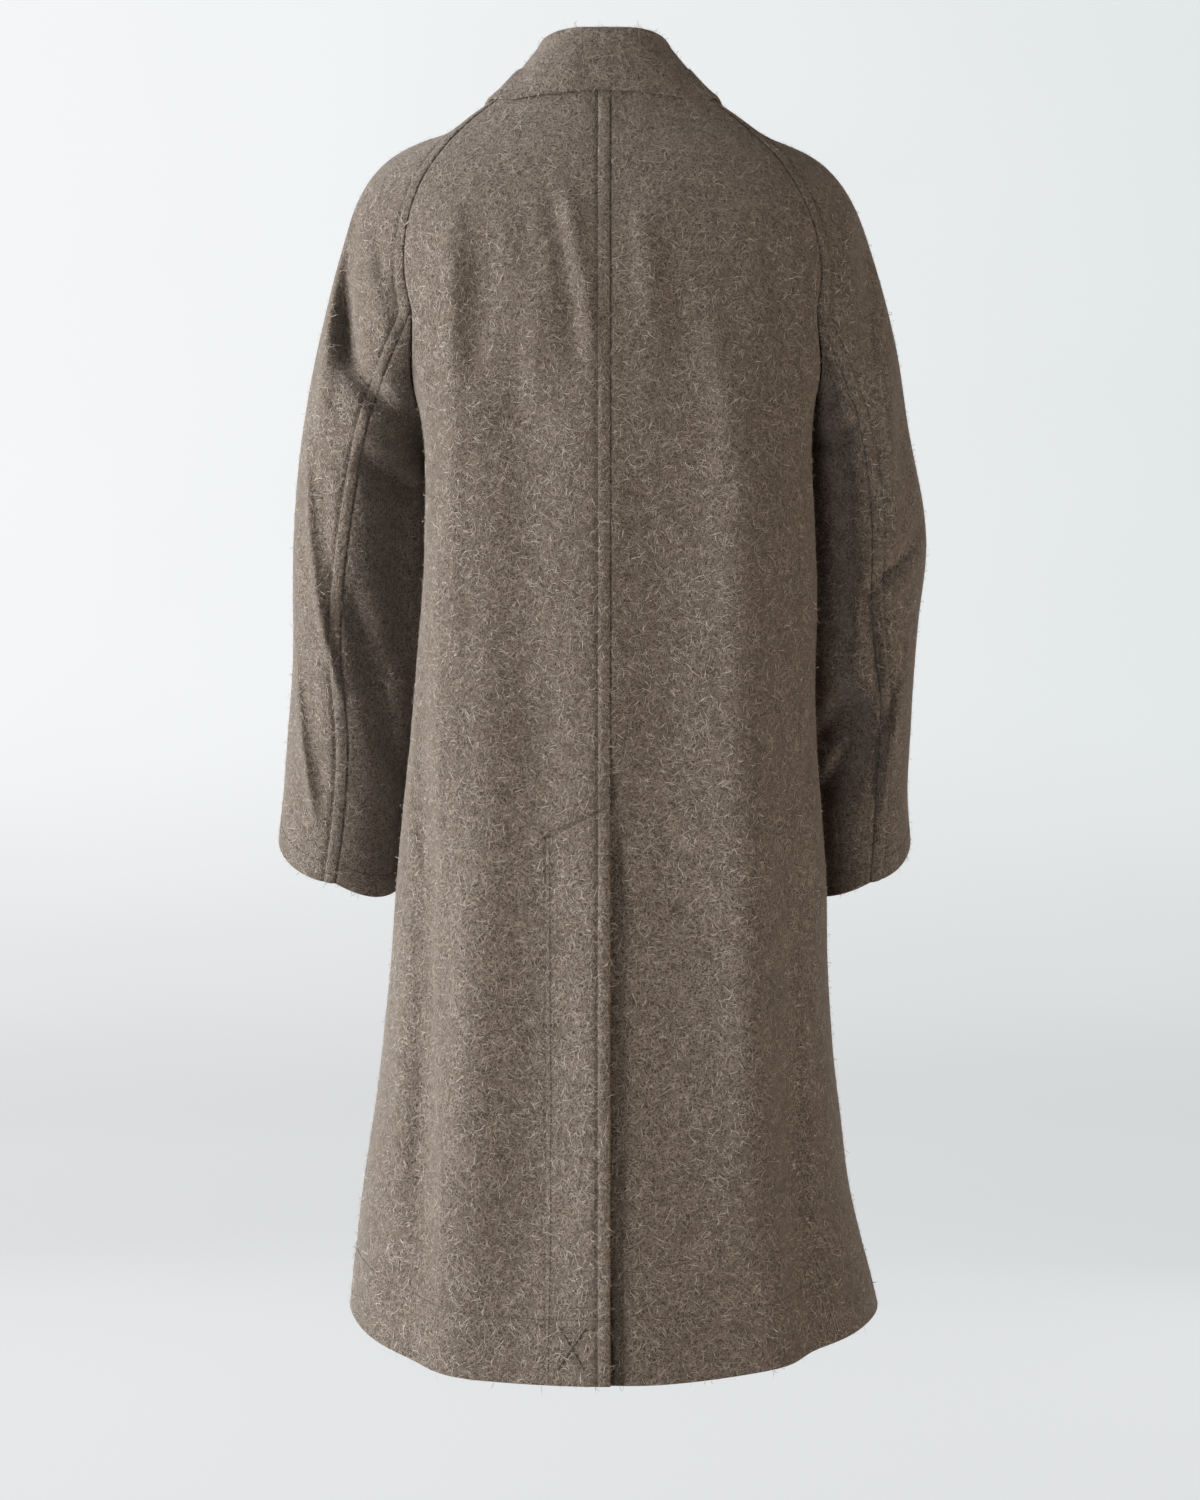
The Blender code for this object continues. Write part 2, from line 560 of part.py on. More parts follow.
def grid_normals(grid):
    """Directions out of a grid whose columns cross its rows clockwise when seen from inside."""
    return unit(np.cross(np.gradient(grid, axis=1), np.gradient(grid, axis=0)))


def shared_normals(grids):
    """Normals that agree where panels meet along a seam, so that their walls stay apart."""
    own = {name: grid_normals(grid) for name, grid in grids.items()}
    meeting = {}
    for name, grid in grids.items():
        for key, normal in zip(np.round(grid.reshape(-1, 3), 6) + 0.0, own[name].reshape(-1, 3)):
            meeting[tuple(key)] = meeting.get(tuple(key), 0.0) + normal
    shared = {}
    for name, grid in grids.items():
        common = np.array([unit(meeting[tuple(key)]) for key in np.round(grid.reshape(-1, 3), 6) + 0.0])
        common = common.reshape(grid.shape)
        agrees = np.sum(common * own[name], axis=-1, keepdims=True) > 0.6
        shared[name] = np.where(agrees, common, own[name])
    return shared


def drawn_in(grid):
    """The grid with its edges moved in by half the seam gap."""
    moved = grid.copy()
    moved[0] += unit(grid[1] - grid[0]) * SEAM_GAP / 2.0
    moved[-1] += unit(grid[-2] - grid[-1]) * SEAM_GAP / 2.0
    moved[:, 0] += unit(grid[:, 1] - grid[:, 0]) * SEAM_GAP / 2.0
    moved[:, -1] += unit(grid[:, -2] - grid[:, -1]) * SEAM_GAP / 2.0
    return moved


def wall(name, grid, normals, thickness, material):
    """A closed wall between a grid of outer points and the points one thickness inside them.

    The rim is split from the higher outer point to the lower inner one, alike on both sides of a seam.
    """
    outer = drawn_in(grid)
    inner = outer - normals * thickness
    count_rows, count_columns = grid.shape[:2]
    index = np.arange(count_rows * count_columns).reshape(count_rows, count_columns)
    far = index + index.size
    faces = []
    for i in range(count_rows - 1):
        for j in range(count_columns - 1):
            faces.append((index[i, j], index[i, j + 1], index[i + 1, j + 1], index[i + 1, j]))
            faces.append((far[i, j], far[i + 1, j], far[i + 1, j + 1], far[i, j + 1]))
    rim = np.concatenate([index[0, :-1], index[:-1, -1], index[-1, :0:-1], index[:0:-1, 0]])
    heights = outer[..., 2].reshape(-1)
    for here, following in zip(rim, np.roll(rim, -1)):
        inner_here = here + index.size
        inner_following = following + index.size
        if heights[here] > heights[following]:
            faces.append((following, here, inner_following))
            faces.append((here, inner_here, inner_following))
        else:
            faces.append((following, here, inner_here))
            faces.append((following, inner_here, inner_following))
    mesh = bpy.data.meshes.new(name)
    mesh.from_pydata(np.concatenate([outer.reshape(-1, 3), inner.reshape(-1, 3)]).tolist(), [],
                     [tuple(int(corner) for corner in face) for face in faces])
    mesh.update()
    piece = bpy.data.objects.new(name, mesh)
    mesh.materials.append(material)
    return piece


# Buttons

def button(name, place, normal, material):
    """A turned button with a rounded rim and a dished face, lying on the front."""
    radius = BUTTON_RADIUS
    height = BUTTON_HEIGHT
    profile = ((0.0, 0.0), (0.72 * radius, 0.0), (0.95 * radius, 0.22 * height), (radius, 0.55 * height),
               (0.94 * radius, 0.90 * height), (0.84 * radius, height), (0.70 * radius, 0.72 * height),
               (0.0, 0.62 * height))
    mesh = bpy.data.meshes.new(name)
    mesh.from_pydata([(r, 0.0, h) for r, h in profile], [(i, i + 1) for i in range(len(profile) - 1)], [])
    piece = bpy.data.objects.new(name, mesh)
    turn = piece.modifiers.new("turned", "SCREW")
    turn.axis = "Z"
    turn.steps = BUTTON_STEPS
    turn.render_steps = BUTTON_STEPS
    turn.use_merge_vertices = True
    turn.merge_threshold = 0.00005
    turn.use_normal_calculate = True
    across = math.hypot(normal[0], normal[1])
    piece.rotation_euler = (0.0, math.atan2(across, normal[2]), math.atan2(normal[1], normal[0]))
    piece.location = place + normal * BUTTON_CLEARANCE
    mesh.materials.append(material)
    return piece


# Building

def cloth_material(name, colour, roughness):
    material = bpy.data.materials.new(name)
    material.use_nodes = True
    shader = material.node_tree.nodes["Principled BSDF"]
    shader.inputs["Base Color"].default_value = colour
    shader.inputs["Roughness"].default_value = roughness
    return material


def build():
    for leftover in list(bpy.data.objects):
        bpy.data.objects.remove(leftover)
    wool = cloth_material("wool coating", (0.150, 0.125, 0.105, 1.0), 0.95)
    horn = cloth_material("dark horn", (0.045, 0.028, 0.018, 1.0), 0.35)
    coat = bpy.data.collections.new("overcoat")
    bpy.context.scene.collection.children.link(coat)

    shell = {}
    for side in ("left", "right"):
        shell["back_" + side] = back_panel(side)
        shell["front_" + side] = front_panel(side)
        shell["top_sleeve_" + side] = top_sleeve(side)
        shell["under_sleeve_" + side] = under_sleeve(side)
    normals = shared_normals(shell)
    for name, grid in shell.items():
        coat.objects.link(wall(name, grid, normals[name], CLOTH, wool))

    folded = collar(surface_of(shell.values()))
    coat.objects.link(wall("collar", folded, grid_normals(folded), COLLAR_CLOTH, wool))
    for side in ("left", "right"):
        laid = lapel(side)
        coat.objects.link(wall("lapel_" + side, laid, grid_normals(laid), LAPEL_CLOTH, wool))

    sewn_to = surface_of([shell["front_left"]])
    for side, sign in (("left", 1.0), ("right", -1.0)):
        for number, z in enumerate(BUTTON_ROWS_Z, start=1):
            over = torso(float(angle_at(sign * BUTTON_COLUMN_X, z, False)), z)
            place, normal, face, distance = sewn_to.find_nearest(Vector(over))
            coat.objects.link(button(f"button_{side}_{number}", place, normal, horn))


build()
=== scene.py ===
"""Looks of the worn overcoat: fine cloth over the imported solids, with its seams, stitches, creases and nap.

The sizes and tables repeat the source of the solids, in the same frame: metres, +Z up, front towards -Y,
wearer's left at +X, origin at the base of the neck.
"""

import math
from collections import namedtuple

import bpy
import numpy as np
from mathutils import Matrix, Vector, noise
from mathutils.bvhtree import BVHTree
from mathutils.kdtree import KDTree


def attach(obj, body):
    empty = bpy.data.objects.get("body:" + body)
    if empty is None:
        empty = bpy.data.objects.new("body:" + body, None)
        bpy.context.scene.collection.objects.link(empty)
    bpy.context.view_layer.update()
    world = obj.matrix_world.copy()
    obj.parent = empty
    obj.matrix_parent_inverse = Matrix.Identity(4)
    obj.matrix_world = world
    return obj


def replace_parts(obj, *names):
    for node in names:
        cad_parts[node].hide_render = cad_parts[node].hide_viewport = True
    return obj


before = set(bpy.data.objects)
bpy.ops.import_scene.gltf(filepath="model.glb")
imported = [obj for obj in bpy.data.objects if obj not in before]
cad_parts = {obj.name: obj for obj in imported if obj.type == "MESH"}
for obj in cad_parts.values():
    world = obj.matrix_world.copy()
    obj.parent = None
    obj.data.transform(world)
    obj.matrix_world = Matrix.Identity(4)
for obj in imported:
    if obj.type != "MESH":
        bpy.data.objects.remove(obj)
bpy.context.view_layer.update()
chance = np.random.default_rng(7)
SIDES = ("left", "right")
TINY = 1e-12

# Cloth and sewing
CLOTH = 0.0025
COLLAR_CLOTH = 0.003
LAPEL_CLOTH = 0.003
WELT = 0.0108
WELT_PUFF = 0.0011
WELT_ROUNDNESS = 0.6
WELT_FOOT = 0.004
WELT_FOOT_WIDTH = 0.010
WELT_FOOT_SHARE = 0.35
STITCH_SINK = 0.0010
STITCH_SINK_WIDTH = 0.0013
HEM_SINK_SHARE = 0.5
HEM_SINK_WIDTH = 0.0045
FACING_SINK = 0.0005
FACING_SINK_WIDTH = 0.0013
SLANT_SINK = 0.0020
SLANT_SINK_WIDTH = 0.0016
SEAM_DIP = 0.0012
SEAM_DIP_WIDTH = 0.0020
HEM_STITCH = 0.055
CUFF_STITCH = 0.021
FACING_STITCH = 0.0542
FACING_START = 0.002
FACING_POINTS = 30
FACING_FADE = 0.003

# Closing, centre back and vent
FRONT_OVERLAP = 0.085
BREAK_Z = -0.270
ROLL_TOP_X = 0.066
ROLL_TOP_Z = -0.018
LAP_INSET = 0.0034
LAP_RAMP = (0.055, 0.008)
LAPEL_INSET = 0.0090
LAPEL_INSET_Z = (-0.34, -0.26)
CENTRE_BACK_X = -0.005
VENT_TOP_Z = -0.628
VENT_SLANT = 0.027
VENT_UNDERLAP = 0.052
VENT_INSET = 0.0042
VENT_INSET_FROM_X = -0.045
VENT_INSET_OFF_EDGE = 0.003
VENT_INSET_ABOVE = (0.06, 0.004)
VENT_LIFT = 0.0048
VENT_LIFT_WIDTH = 0.030
VENT_LIFT_FADE = 0.1
VENT_HOLLOW = 0.0060
VENT_HOLLOW_WIDTH = 0.0045
VENT_HOLLOW_FADE = 0.05

# Heights of the body, the armhole's curve and the hem's
ARMPIT_Z = -0.300
ARMHOLE_DROP = 1.35
ARMHOLE_SWEEP = 1.5
HEM_Z = -1.108
HEM_RISE_FROM_Z = -0.70
HEM_RISE_SIDE = 0.034
HEM_CURVE_LEFT = 3.8
HEM_CURVE_RIGHT = 2.2
HEM_RISE_FRONT = 0.014
ARM_REACH = 0.070

# How finely the cloth is divided
EDGE_STEPS = np.array([0.0, 0.6, 1.4, 2.6, 4.2, 6.2, 8.2, 9.6, 10.8, 12.0, 13.6, 16.0, 19.5]) / 1000.0
FACING_STEPS = np.concatenate([np.arange(22.0, 50.0, 2.5),
                               [51.3, 52.6, 53.4, 54.2, 55.0, 55.8, 57.2, 59.5]]) / 1000.0
EDGE_MOST = 0.42
FACING_MOST = 0.62
WELT_COLUMN = int(np.argmin(np.abs(EDGE_STEPS - WELT)))
VENT_ROWS = np.linspace(0.0042, -0.0345, 24)
RAGLAN_ROWS = 40
ARMHOLE_ROWS = 16
SKIRT_ROWS = 118
TUBE_ROWS = 84
BODY_MIDDLE = 42
SLEEVE_MIDDLE = 56
UNDER_MIDDLE = 30
DENSE = 150

# Small steps to either side when a direction out of the body is taken, in degrees and metres
RING_TURN = 1.5
NORMAL_TURN = 1.0
NORMAL_DROP = 0.004

# Rings of the body: half widths, depths, squareness and the dent that the arms press into the sides
TorsoRow = namedtuple("TorsoRow", "z half_left half_right back front square_back square_front "
                                  "press_left press_right arm_y")
TORSO = (
    TorsoRow(0.015, 0.083, 0.083, 0.074, 0.046, 2.0, 2.0, 0.00, 0.00, 0.000),
    TorsoRow(-0.030, 0.148, 0.150, 0.093, 0.076, 2.1, 2.2, 0.00, 0.00, 0.000),
    TorsoRow(-0.080, 0.190, 0.197, 0.116, 0.106, 2.4, 2.4, 0.00, 0.00, 0.000),
    TorsoRow(-0.130, 0.205, 0.218, 0.134, 0.129, 2.4, 2.5, 0.00, 0.00, 0.000),
    TorsoRow(-0.200, 0.196, 0.215, 0.148, 0.151, 2.5, 2.5, 0.01, 0.02, 0.000),
    TorsoRow(-0.300, 0.175, 0.207, 0.155, 0.164, 2.7, 2.6, 0.16, 0.26, 0.000),
    TorsoRow(-0.420, 0.171, 0.207, 0.158, 0.167, 2.8, 2.6, 0.15, 0.26, -0.002),
    TorsoRow(-0.560, 0.175, 0.196, 0.165, 0.170, 2.7, 2.6, 0.11, 0.20, -0.026),
    TorsoRow(-0.700, 0.183, 0.198, 0.174, 0.176, 2.5, 2.5, 0.06, 0.15, -0.070),
    TorsoRow(-0.820, 0.191, 0.199, 0.184, 0.184, 2.4, 2.4, 0.00, 0.02, -0.070),
    TorsoRow(-0.900, 0.199, 0.205, 0.191, 0.190, 2.3, 2.3, 0.00, 0.00, -0.070),
    TorsoRow(-1.000, 0.212, 0.216, 0.202, 0.197, 2.2, 2.3, 0.00, 0.00, -0.070),
    TorsoRow(-1.110, 0.223, 0.241, 0.216, 0.206, 2.2, 2.3, 0.00, 0.00, -0.070),
)

# Folds of the body, placed by angle round it: 0 is the centre back, 180 the centre front, left is positive
Fold = namedtuple("Fold", "angle_high angle_low z_high z_full z_low width depth")
FOLDS = (
    Fold(30, 33, -0.45, -0.85, -1.60, 9, 0.006),
    Fold(46, 47, -0.50, -0.90, -1.60, 9, -0.008),
    Fold(-34, -37, -0.50, -0.95, -1.60, 8, 0.009),
    Fold(-47, -47, -0.50, -0.95, -1.60, 8, -0.009),
    Fold(16, 18, -0.60, -1.00, -1.60, 12, -0.006),
    Fold(-14, -16, -0.60, -1.00, -1.60, 11, -0.004),
    Fold(36, 38, -0.10, -0.17, -0.42, 9, 0.005),
    Fold(9, 8, -0.04, -0.20, -0.60, 7, 0.004),
    Fold(-9, -8, -0.04, -0.20, -0.60, 7, 0.004),
    Fold(112, 115, -0.40, -0.90, -1.60, 10, 0.010),
    Fold(132, 134, -0.45, -0.95, -1.60, 10, -0.008),
    Fold(-108, -112, -0.40, -0.90, -1.60, 9, 0.011),
    Fold(-126, -130, -0.45, -0.95, -1.60, 10, -0.009),
)

# Raglan seams and the shoulder's crown, from the neck to where the under sleeve begins
RaglanRow = namedtuple("RaglanRow", "along back_z back_left back_right front_z front_x "
                                    "crown_left crown_right")
RAGLAN = (
    RaglanRow(0.00, 0.004, 0.072, 0.071, -0.019, 0.078, (0.081, 0.000, -0.007), (0.079, 0.000, -0.008)),
    RaglanRow(0.12, -0.017, 0.091, 0.090, -0.031, 0.093, (0.097, 0.000, -0.027), (0.095, 0.000, -0.029)),
    RaglanRow(0.24, -0.038, 0.117, 0.117, -0.045, 0.108, (0.119, 0.000, -0.040), (0.116, 0.000, -0.046)),
    RaglanRow(0.39, -0.070, 0.145, 0.149, -0.075, 0.130, (0.156, 0.000, -0.048), (0.155, 0.000, -0.052)),
    RaglanRow(0.55, -0.104, 0.163, 0.170, -0.112, 0.145, (0.192, 0.000, -0.068), (0.190, 0.000, -0.069)),
    RaglanRow(0.70, -0.138, 0.171, 0.183, -0.150, 0.153, (0.216, 0.000, -0.101), (0.216, 0.000, -0.101)),
    RaglanRow(0.85, -0.172, 0.172, 0.187, -0.182, 0.157, (0.232, 0.001, -0.152), (0.236, 0.001, -0.152)),
    RaglanRow(1.00, -0.204, 0.166, 0.184, -0.210, 0.157, (0.249, 0.002, -0.218), (0.253, 0.002, -0.218)),
)

# Sections of the sleeves below the armhole; x is measured out from the centre of the body
SleeveRow = namedtuple("SleeveRow", "along crown back front inner")
SLEEVES = {
    "left": (
        SleeveRow(0.18, crown=(0.264, 0.002, -0.300), back=(0.199, 0.084, -0.285),
                  front=(0.203, -0.082, -0.285), inner=(0.157, 0.000, -0.325)),
        SleeveRow(0.36, crown=(0.272, 0.000, -0.385), back=(0.218, 0.078, -0.382),
                  front=(0.214, -0.080, -0.372), inner=(0.153, -0.002, -0.400)),
        SleeveRow(0.55, crown=(0.273, -0.006, -0.478), back=(0.228, 0.068, -0.486),
                  front=(0.220, -0.080, -0.452), inner=(0.155, -0.008, -0.478)),
        SleeveRow(0.71, crown=(0.279, -0.024, -0.553), back=(0.223, 0.046, -0.573),
                  front=(0.226, -0.094, -0.520), inner=(0.167, -0.028, -0.560)),
        SleeveRow(0.86, crown=(0.284, -0.045, -0.612), back=(0.228, 0.021, -0.643),
                  front=(0.230, -0.112, -0.572), inner=(0.174, -0.050, -0.628)),
        SleeveRow(1.00, crown=(0.291, -0.064, -0.659), back=(0.237, -0.002, -0.699),
                  front=(0.236, -0.130, -0.628), inner=(0.181, -0.070, -0.696)),
    ),
    "right": (
        SleeveRow(0.18, crown=(0.267, 0.002, -0.300), back=(0.219, 0.084, -0.298),
                  front=(0.210, -0.082, -0.285), inner=(0.166, 0.000, -0.325)),
        SleeveRow(0.36, crown=(0.282, 0.000, -0.392), back=(0.231, 0.078, -0.380),
                  front=(0.218, -0.080, -0.372), inner=(0.162, -0.002, -0.400)),
        SleeveRow(0.55, crown=(0.275, -0.006, -0.474), back=(0.232, 0.068, -0.462),
                  front=(0.218, -0.080, -0.452), inner=(0.162, -0.008, -0.478)),
        SleeveRow(0.71, crown=(0.270, -0.024, -0.550), back=(0.241, 0.046, -0.545),
                  front=(0.222, -0.094, -0.520), inner=(0.165, -0.028, -0.560)),
        SleeveRow(0.86, crown=(0.268, -0.045, -0.610), back=(0.239, 0.021, -0.622),
                  front=(0.222, -0.112, -0.572), inner=(0.168, -0.050, -0.628)),
        SleeveRow(1.00, crown=(0.273, -0.064, -0.655), back=(0.235, -0.002, -0.698),
                  front=(0.224, -0.130, -0.628), inner=(0.170, -0.070, -0.696)),
    ),
}

# Pace of the sleeves' sections, and the handles of their curves as shares of their lengths
CROWN_RATE = 1.6
RAGLAN_PACE = 8
TUBE_PACE = 12
QUARTER = 0.5523
SEAM_HANDLE = 0.24
NECK_HANDLE = 0.04
HANDLE_GROWN = 0.5
FOLLOW_FULL = 0.65
FOLLOW_PAST = 0.25
TUBE_LENGTH = 0.46
RIM_FADE = 0.34

# Left half of the collar from the centre back to the gorge: foot of the stand, fold and edge of the fall
CollarRow = namedtuple("CollarRow", "along seam fold edge")
COLLAR = (
    CollarRow(0.00, (0.000, 0.0680, 0.002), (0.000, 0.0720, 0.0425), (0.000, 0.0960, -0.0150)),
    CollarRow(0.20, (0.028, 0.0630, 0.002), (0.029, 0.0680, 0.0420), (0.044, 0.0920, -0.0170)),
    CollarRow(0.40, (0.051, 0.0460, 0.001), (0.048, 0.0480, 0.0390), (0.081, 0.0770, -0.0205)),
    CollarRow(0.60, (0.066, 0.0180, -0.003), (0.056, 0.0190, 0.0325), (0.103, 0.0420, -0.0260)),
    CollarRow(0.75, (0.068, -0.0100, -0.009), (0.059, -0.0100, 0.0235), (0.109, -0.0050, -0.0250)),
    CollarRow(0.88, (0.066, -0.0330, -0.016), (0.0625, -0.0390, 0.0085), (0.118, -0.0560, -0.0330)),
    CollarRow(1.00, (0.0615, -0.0510, -0.022), (0.0635, -0.0625, -0.0105), (0.118, -0.0870, -0.0600)),
)
COLLAR_ROLL = 0.0044
COLLAR_BOW = 0.01
COLLAR_BOW_UP = 0.6
COLLAR_EASINGS = 6
COLLAR_CLEARANCE = 0.0024
COLLAR_HALF_ROWS = 64
COLLAR_STAND_POINTS = 10
COLLAR_ROLL_POINTS = 12
COLLAR_FALL_POINTS = 22
COLLAR_FALL_EVEN = 0.93
COLLAR_EDGE_SHARES = (0.950, 0.966, 0.980, 0.991, 1.0)

# Outline of the lapel over the chest, as distance from the centre and height
LAPEL_TOP = (0.0672, -0.0225)
LAPEL_NOTCH = (0.0985, -0.0485)
LAPEL_POINT = (0.129, -0.108)
LAPEL_BELLY = 0.016
LAPEL_LIFT = 0.0048
LAPEL_ROLL = 0.00365
LAPEL_ROLL_POINTS = 10
LAPEL_ROWS = 70
LAPEL_COLUMNS = 44
LAPEL_SPREAD = 0.8
LAPEL_OFF_ROLL = 0.001
LAPEL_ABOVE_BREAK = 0.012
LAPEL_RIGHT_LOW_Z = -0.205
LAPEL_RIGHT_UNDER = 0.014
LAPEL_END = (0.010, 0.002)

# Buttons
BUTTON_COLUMN_X = 0.062
BUTTON_ROWS_Z = (-0.325, -0.450, -0.575)
BUTTON_RADIUS = 0.014
BUTTON_HEIGHT = 0.005
BUTTON_CLEARANCE = 0.0005
BUTTON_HOLE = 0.0011
BUTTON_HOLE_AT = 0.0024
BUTTON_HOLE_EDGE = (1.25, 0.8)
BUTTON_HOLE_DEPTH = 0.0018
BUTTON_DISH = 0.68
BUTTON_DISH_LEVEL = 0.62
BUTTON_DISH_RISE = 0.12
BUTTON_DISH_RINGS = 30
BUTTON_STEPS = 64
BUTTON_THREAD_LEVEL = 0.63
BUTTON_THREAD_PITCH = 1.6

# Foot and rim of a button from its middle out, over and in to the dish, in shares of its radius and height
RimRow = namedtuple("RimRow", "reach level")
BUTTON_RIM = (
    RimRow(0.0, 0.0),
    RimRow(0.72, 0.0),
    RimRow(0.90, 0.12),
    RimRow(0.97, 0.28),
    RimRow(1.0, 0.52),
    RimRow(0.985, 0.74),
    RimRow(0.94, 0.90),
    RimRow(0.89, 0.98),
    RimRow(0.84, 1.0),
    RimRow(0.79, 0.94),
    RimRow(0.74, 0.82),
    RimRow(0.70, 0.76),
)

# Slow waves of the heavy cloth, and the hairs on it: those that stand and those that lie rise differently
WAVE_RATE = 13.0
WAVE_HEIGHT = 0.0012
NAP_OFF_STITCHES = 0.0024
NAP_THINNED = 0.2
NAP_ROOT = 0.0001
NAP_LENGTH_BIAS = 1.5
NAP_CURL = 1.1
NAP_ARC = 2.4
NAP_STANDING = (0.0015, 0.0036)
NAP_LYING = (0.0003, 0.0009)
NAP_TAPER_AT = (0.0, 0.25, 0.75, 1.0)
NAP_TAPER = (0.6, 1.0, 0.9, 0.25)
NapKind = namedtuple("NapKind", "name density points length width standing")
NAPS = (
    NapKind("nap", 30000, 3, (0.0050, 0.0120), (0.00024, 0.00050), 0.14),
    NapKind("fuzz", 60000, 2, (0.0025, 0.0055), (0.00024, 0.00050), 0.05),
)

# Stitches, and the rounded form of each thread along its length
STITCH_PITCH = 0.0044
STITCH_LENGTH = 0.0038
STITCH_STRAY = 0.0002
THREAD = 0.00042
THREAD_AT = (0.0, 0.25, 0.75, 1.0)
THREAD_SIZE = (0.35, 1.0, 1.0, 0.35)
THREAD_CORNERS = (0.25, 0.75, 1.25, 1.75)
THREAD_ARCH = 1.1
THREAD_SUNK = 0.3
TACK_THREAD = 0.0010
TACK_PITCH = 0.0062
TACK_LENGTH = 0.0060
TACK_STEP = 0.002
TACK_STROKES = (((0.0375, -1.060), (0.0148, -1.097)), ((0.0138, -1.058), (0.0410, -1.098)))
BUTTONHOLE = (-0.0640, -0.0830)
BUTTONHOLE_LIP = 0.0009
BUTTONHOLE_STEP = 0.001
BUTTONHOLE_PITCH = 0.0013
BUTTONHOLE_STITCH = 0.0012

# How near to a seam the cloth is held still, and how far normals are shared across the sleeve seams
HELD_REACH = 0.020
UNDER_SLEEVE_REACH = 0.008
TUBE_REACH = 0.030
NORMAL_SHARED = 0.015
NORMAL_FADE = 0.030
SLEEVE_SEAMS = (("start", 0, "end", -1), ("end", -1, "start", 0))

# Texture map of a cloth piece: its outside at the left, its inside at the right and its rim along the foot
MAP_ACROSS = (0.01, 0.49)
MAP_DOWN = (0.99, 0.05)
MAP_INSIDE = (0.5, 0.0)
MAP_RIM_ACROSS = (0.01, 0.99)
MAP_RIM_DOWN = (0.01, 0.03)

# Texture maps of the hairs and the threads, each within its own cell, and of a button
MAP_HAIR_ALONG = (0.1, 0.9)
MAP_HAIR_ACROSS = (0.25, 0.75)
MAP_THREAD_MARGIN = 0.1
MAP_THREAD_END = ((0.4, 0.4), (0.6, 0.4), (0.6, 0.6), (0.4, 0.6))
MAP_BUTTON_MARGIN = 0.02

# Sewing of each cloth piece: which edges lap over, lie under, hang free or are held still
PieceKind = namedtuple("PieceKind", "group welt under free held stitched")
HEMMED = (("bottom", HEM_STITCH),)
CUFFED = (("bottom", CUFF_STITCH),)
SEAMS = ("start", "end")
ROUND = ("start", "end", "top")
FOOT = ("bottom",)
PIECES = {
    "back_left": PieceKind("back", ("start",), ("end",), FOOT, ("end", "top"), HEMMED),
    "back_right": PieceKind("back", (), SEAMS, FOOT, ("start", "top"), HEMMED),
    "front_left": PieceKind("front", (), ("start",), ("end", "bottom"), ("start", "top"), HEMMED),
    "front_right": PieceKind("front", (), ("end",), ("start", "bottom"), ("end", "top"), HEMMED),
    "top_sleeve_left": PieceKind("sleeve_left", SEAMS, (), FOOT, ROUND, CUFFED),
    "top_sleeve_right": PieceKind("sleeve_right", SEAMS, (), FOOT, ROUND, CUFFED),
    "under_sleeve_left": PieceKind("sleeve_left", (), ROUND, FOOT, ("top",), CUFFED),
    "under_sleeve_right": PieceKind("sleeve_right", (), ROUND, FOOT, ("top",), CUFFED),
    "collar": PieceKind("collar", (), (), ("end", "top", "bottom"), ("start",), ()),
    "lapel_left": PieceKind("lapel", (), (), ("start", "top", "bottom"), ("end",), ()),
    "lapel_right": PieceKind("lapel", (), (), ("end", "top", "bottom"), ("start",), ()),
}

# The flat cut of each cloth piece in metres and square metres, and what it hangs or lies on
Cut = namedtuple("Cut", "width length area held rests_on")

# Colours, linear
WOOL_DARK = (0.046, 0.032, 0.022, 1.0)
WOOL_GROUND = (0.104, 0.076, 0.056, 1.0)
WOOL_SPECK = (0.225, 0.178, 0.142, 1.0)
WOOL_STRAND = (0.350, 0.288, 0.236, 1.0)
WOOL_SHEEN = (1.0, 0.93, 0.86, 1.0)
HAIR_DARK = (0.150, 0.116, 0.092, 1.0)
HAIR_PALE = (0.800, 0.712, 0.630, 1.0)
THREAD_DARK = (0.042, 0.031, 0.023, 1.0)
THREAD_LIGHT = (0.100, 0.077, 0.060, 1.0)
HORN_DARK = (0.018, 0.010, 0.006, 1.0)
HORN_LIGHT = (0.090, 0.048, 0.024, 1.0)
# Painted light: the studio glows, lighter on the lamps' side (+X) than on the far side and dimmer on the
# floor; the floor's own paint is kept near black so that its tone is this painted glow
PAINTED_GLOW_FAR = (0.70, 0.735, 0.74, 1.0)
PAINTED_GLOW_NEAR = (0.86, 0.875, 0.89, 1.0)
PAINTED_GLOW_FLOOR = (0.56, 0.57, 0.575, 1.0)
PAINT_DARK = (0.27, 0.275, 0.28, 1.0)
PAINT_LIGHT = (0.31, 0.315, 0.32, 1.0)
PAINT_FLOOR = (0.035, 0.036, 0.037, 1.0)

# Noise of the materials: how many to a metre, its detail, and the range of it that is eased to another
Pattern = namedtuple("Pattern", "rate detail low high at_low at_high", defaults=(0.0, 1.0))
MOTTLE = Pattern(90.0, 4.0, 0.35, 0.65)
GRAIN = Pattern(620.0, 2.0, 0.30, 0.75, 0.0, 0.45)
SLOW_SHADE = Pattern(4.0, 2.0, 0.30, 0.70, 0.0, 0.22)
HAIR_TONES = Pattern(150.0, 2.0, 0.30, 0.70)
THREAD_TONES = Pattern(900.0, 2.0, 0.30, 0.70)
HORN_TONES = Pattern(70.0, 4.0, 0.35, 0.68)
HORN_STRETCH = (1.0, 1.0, 4.5)
PAINT_TONES = Pattern(1.5, 2.0, 0.30, 0.70)

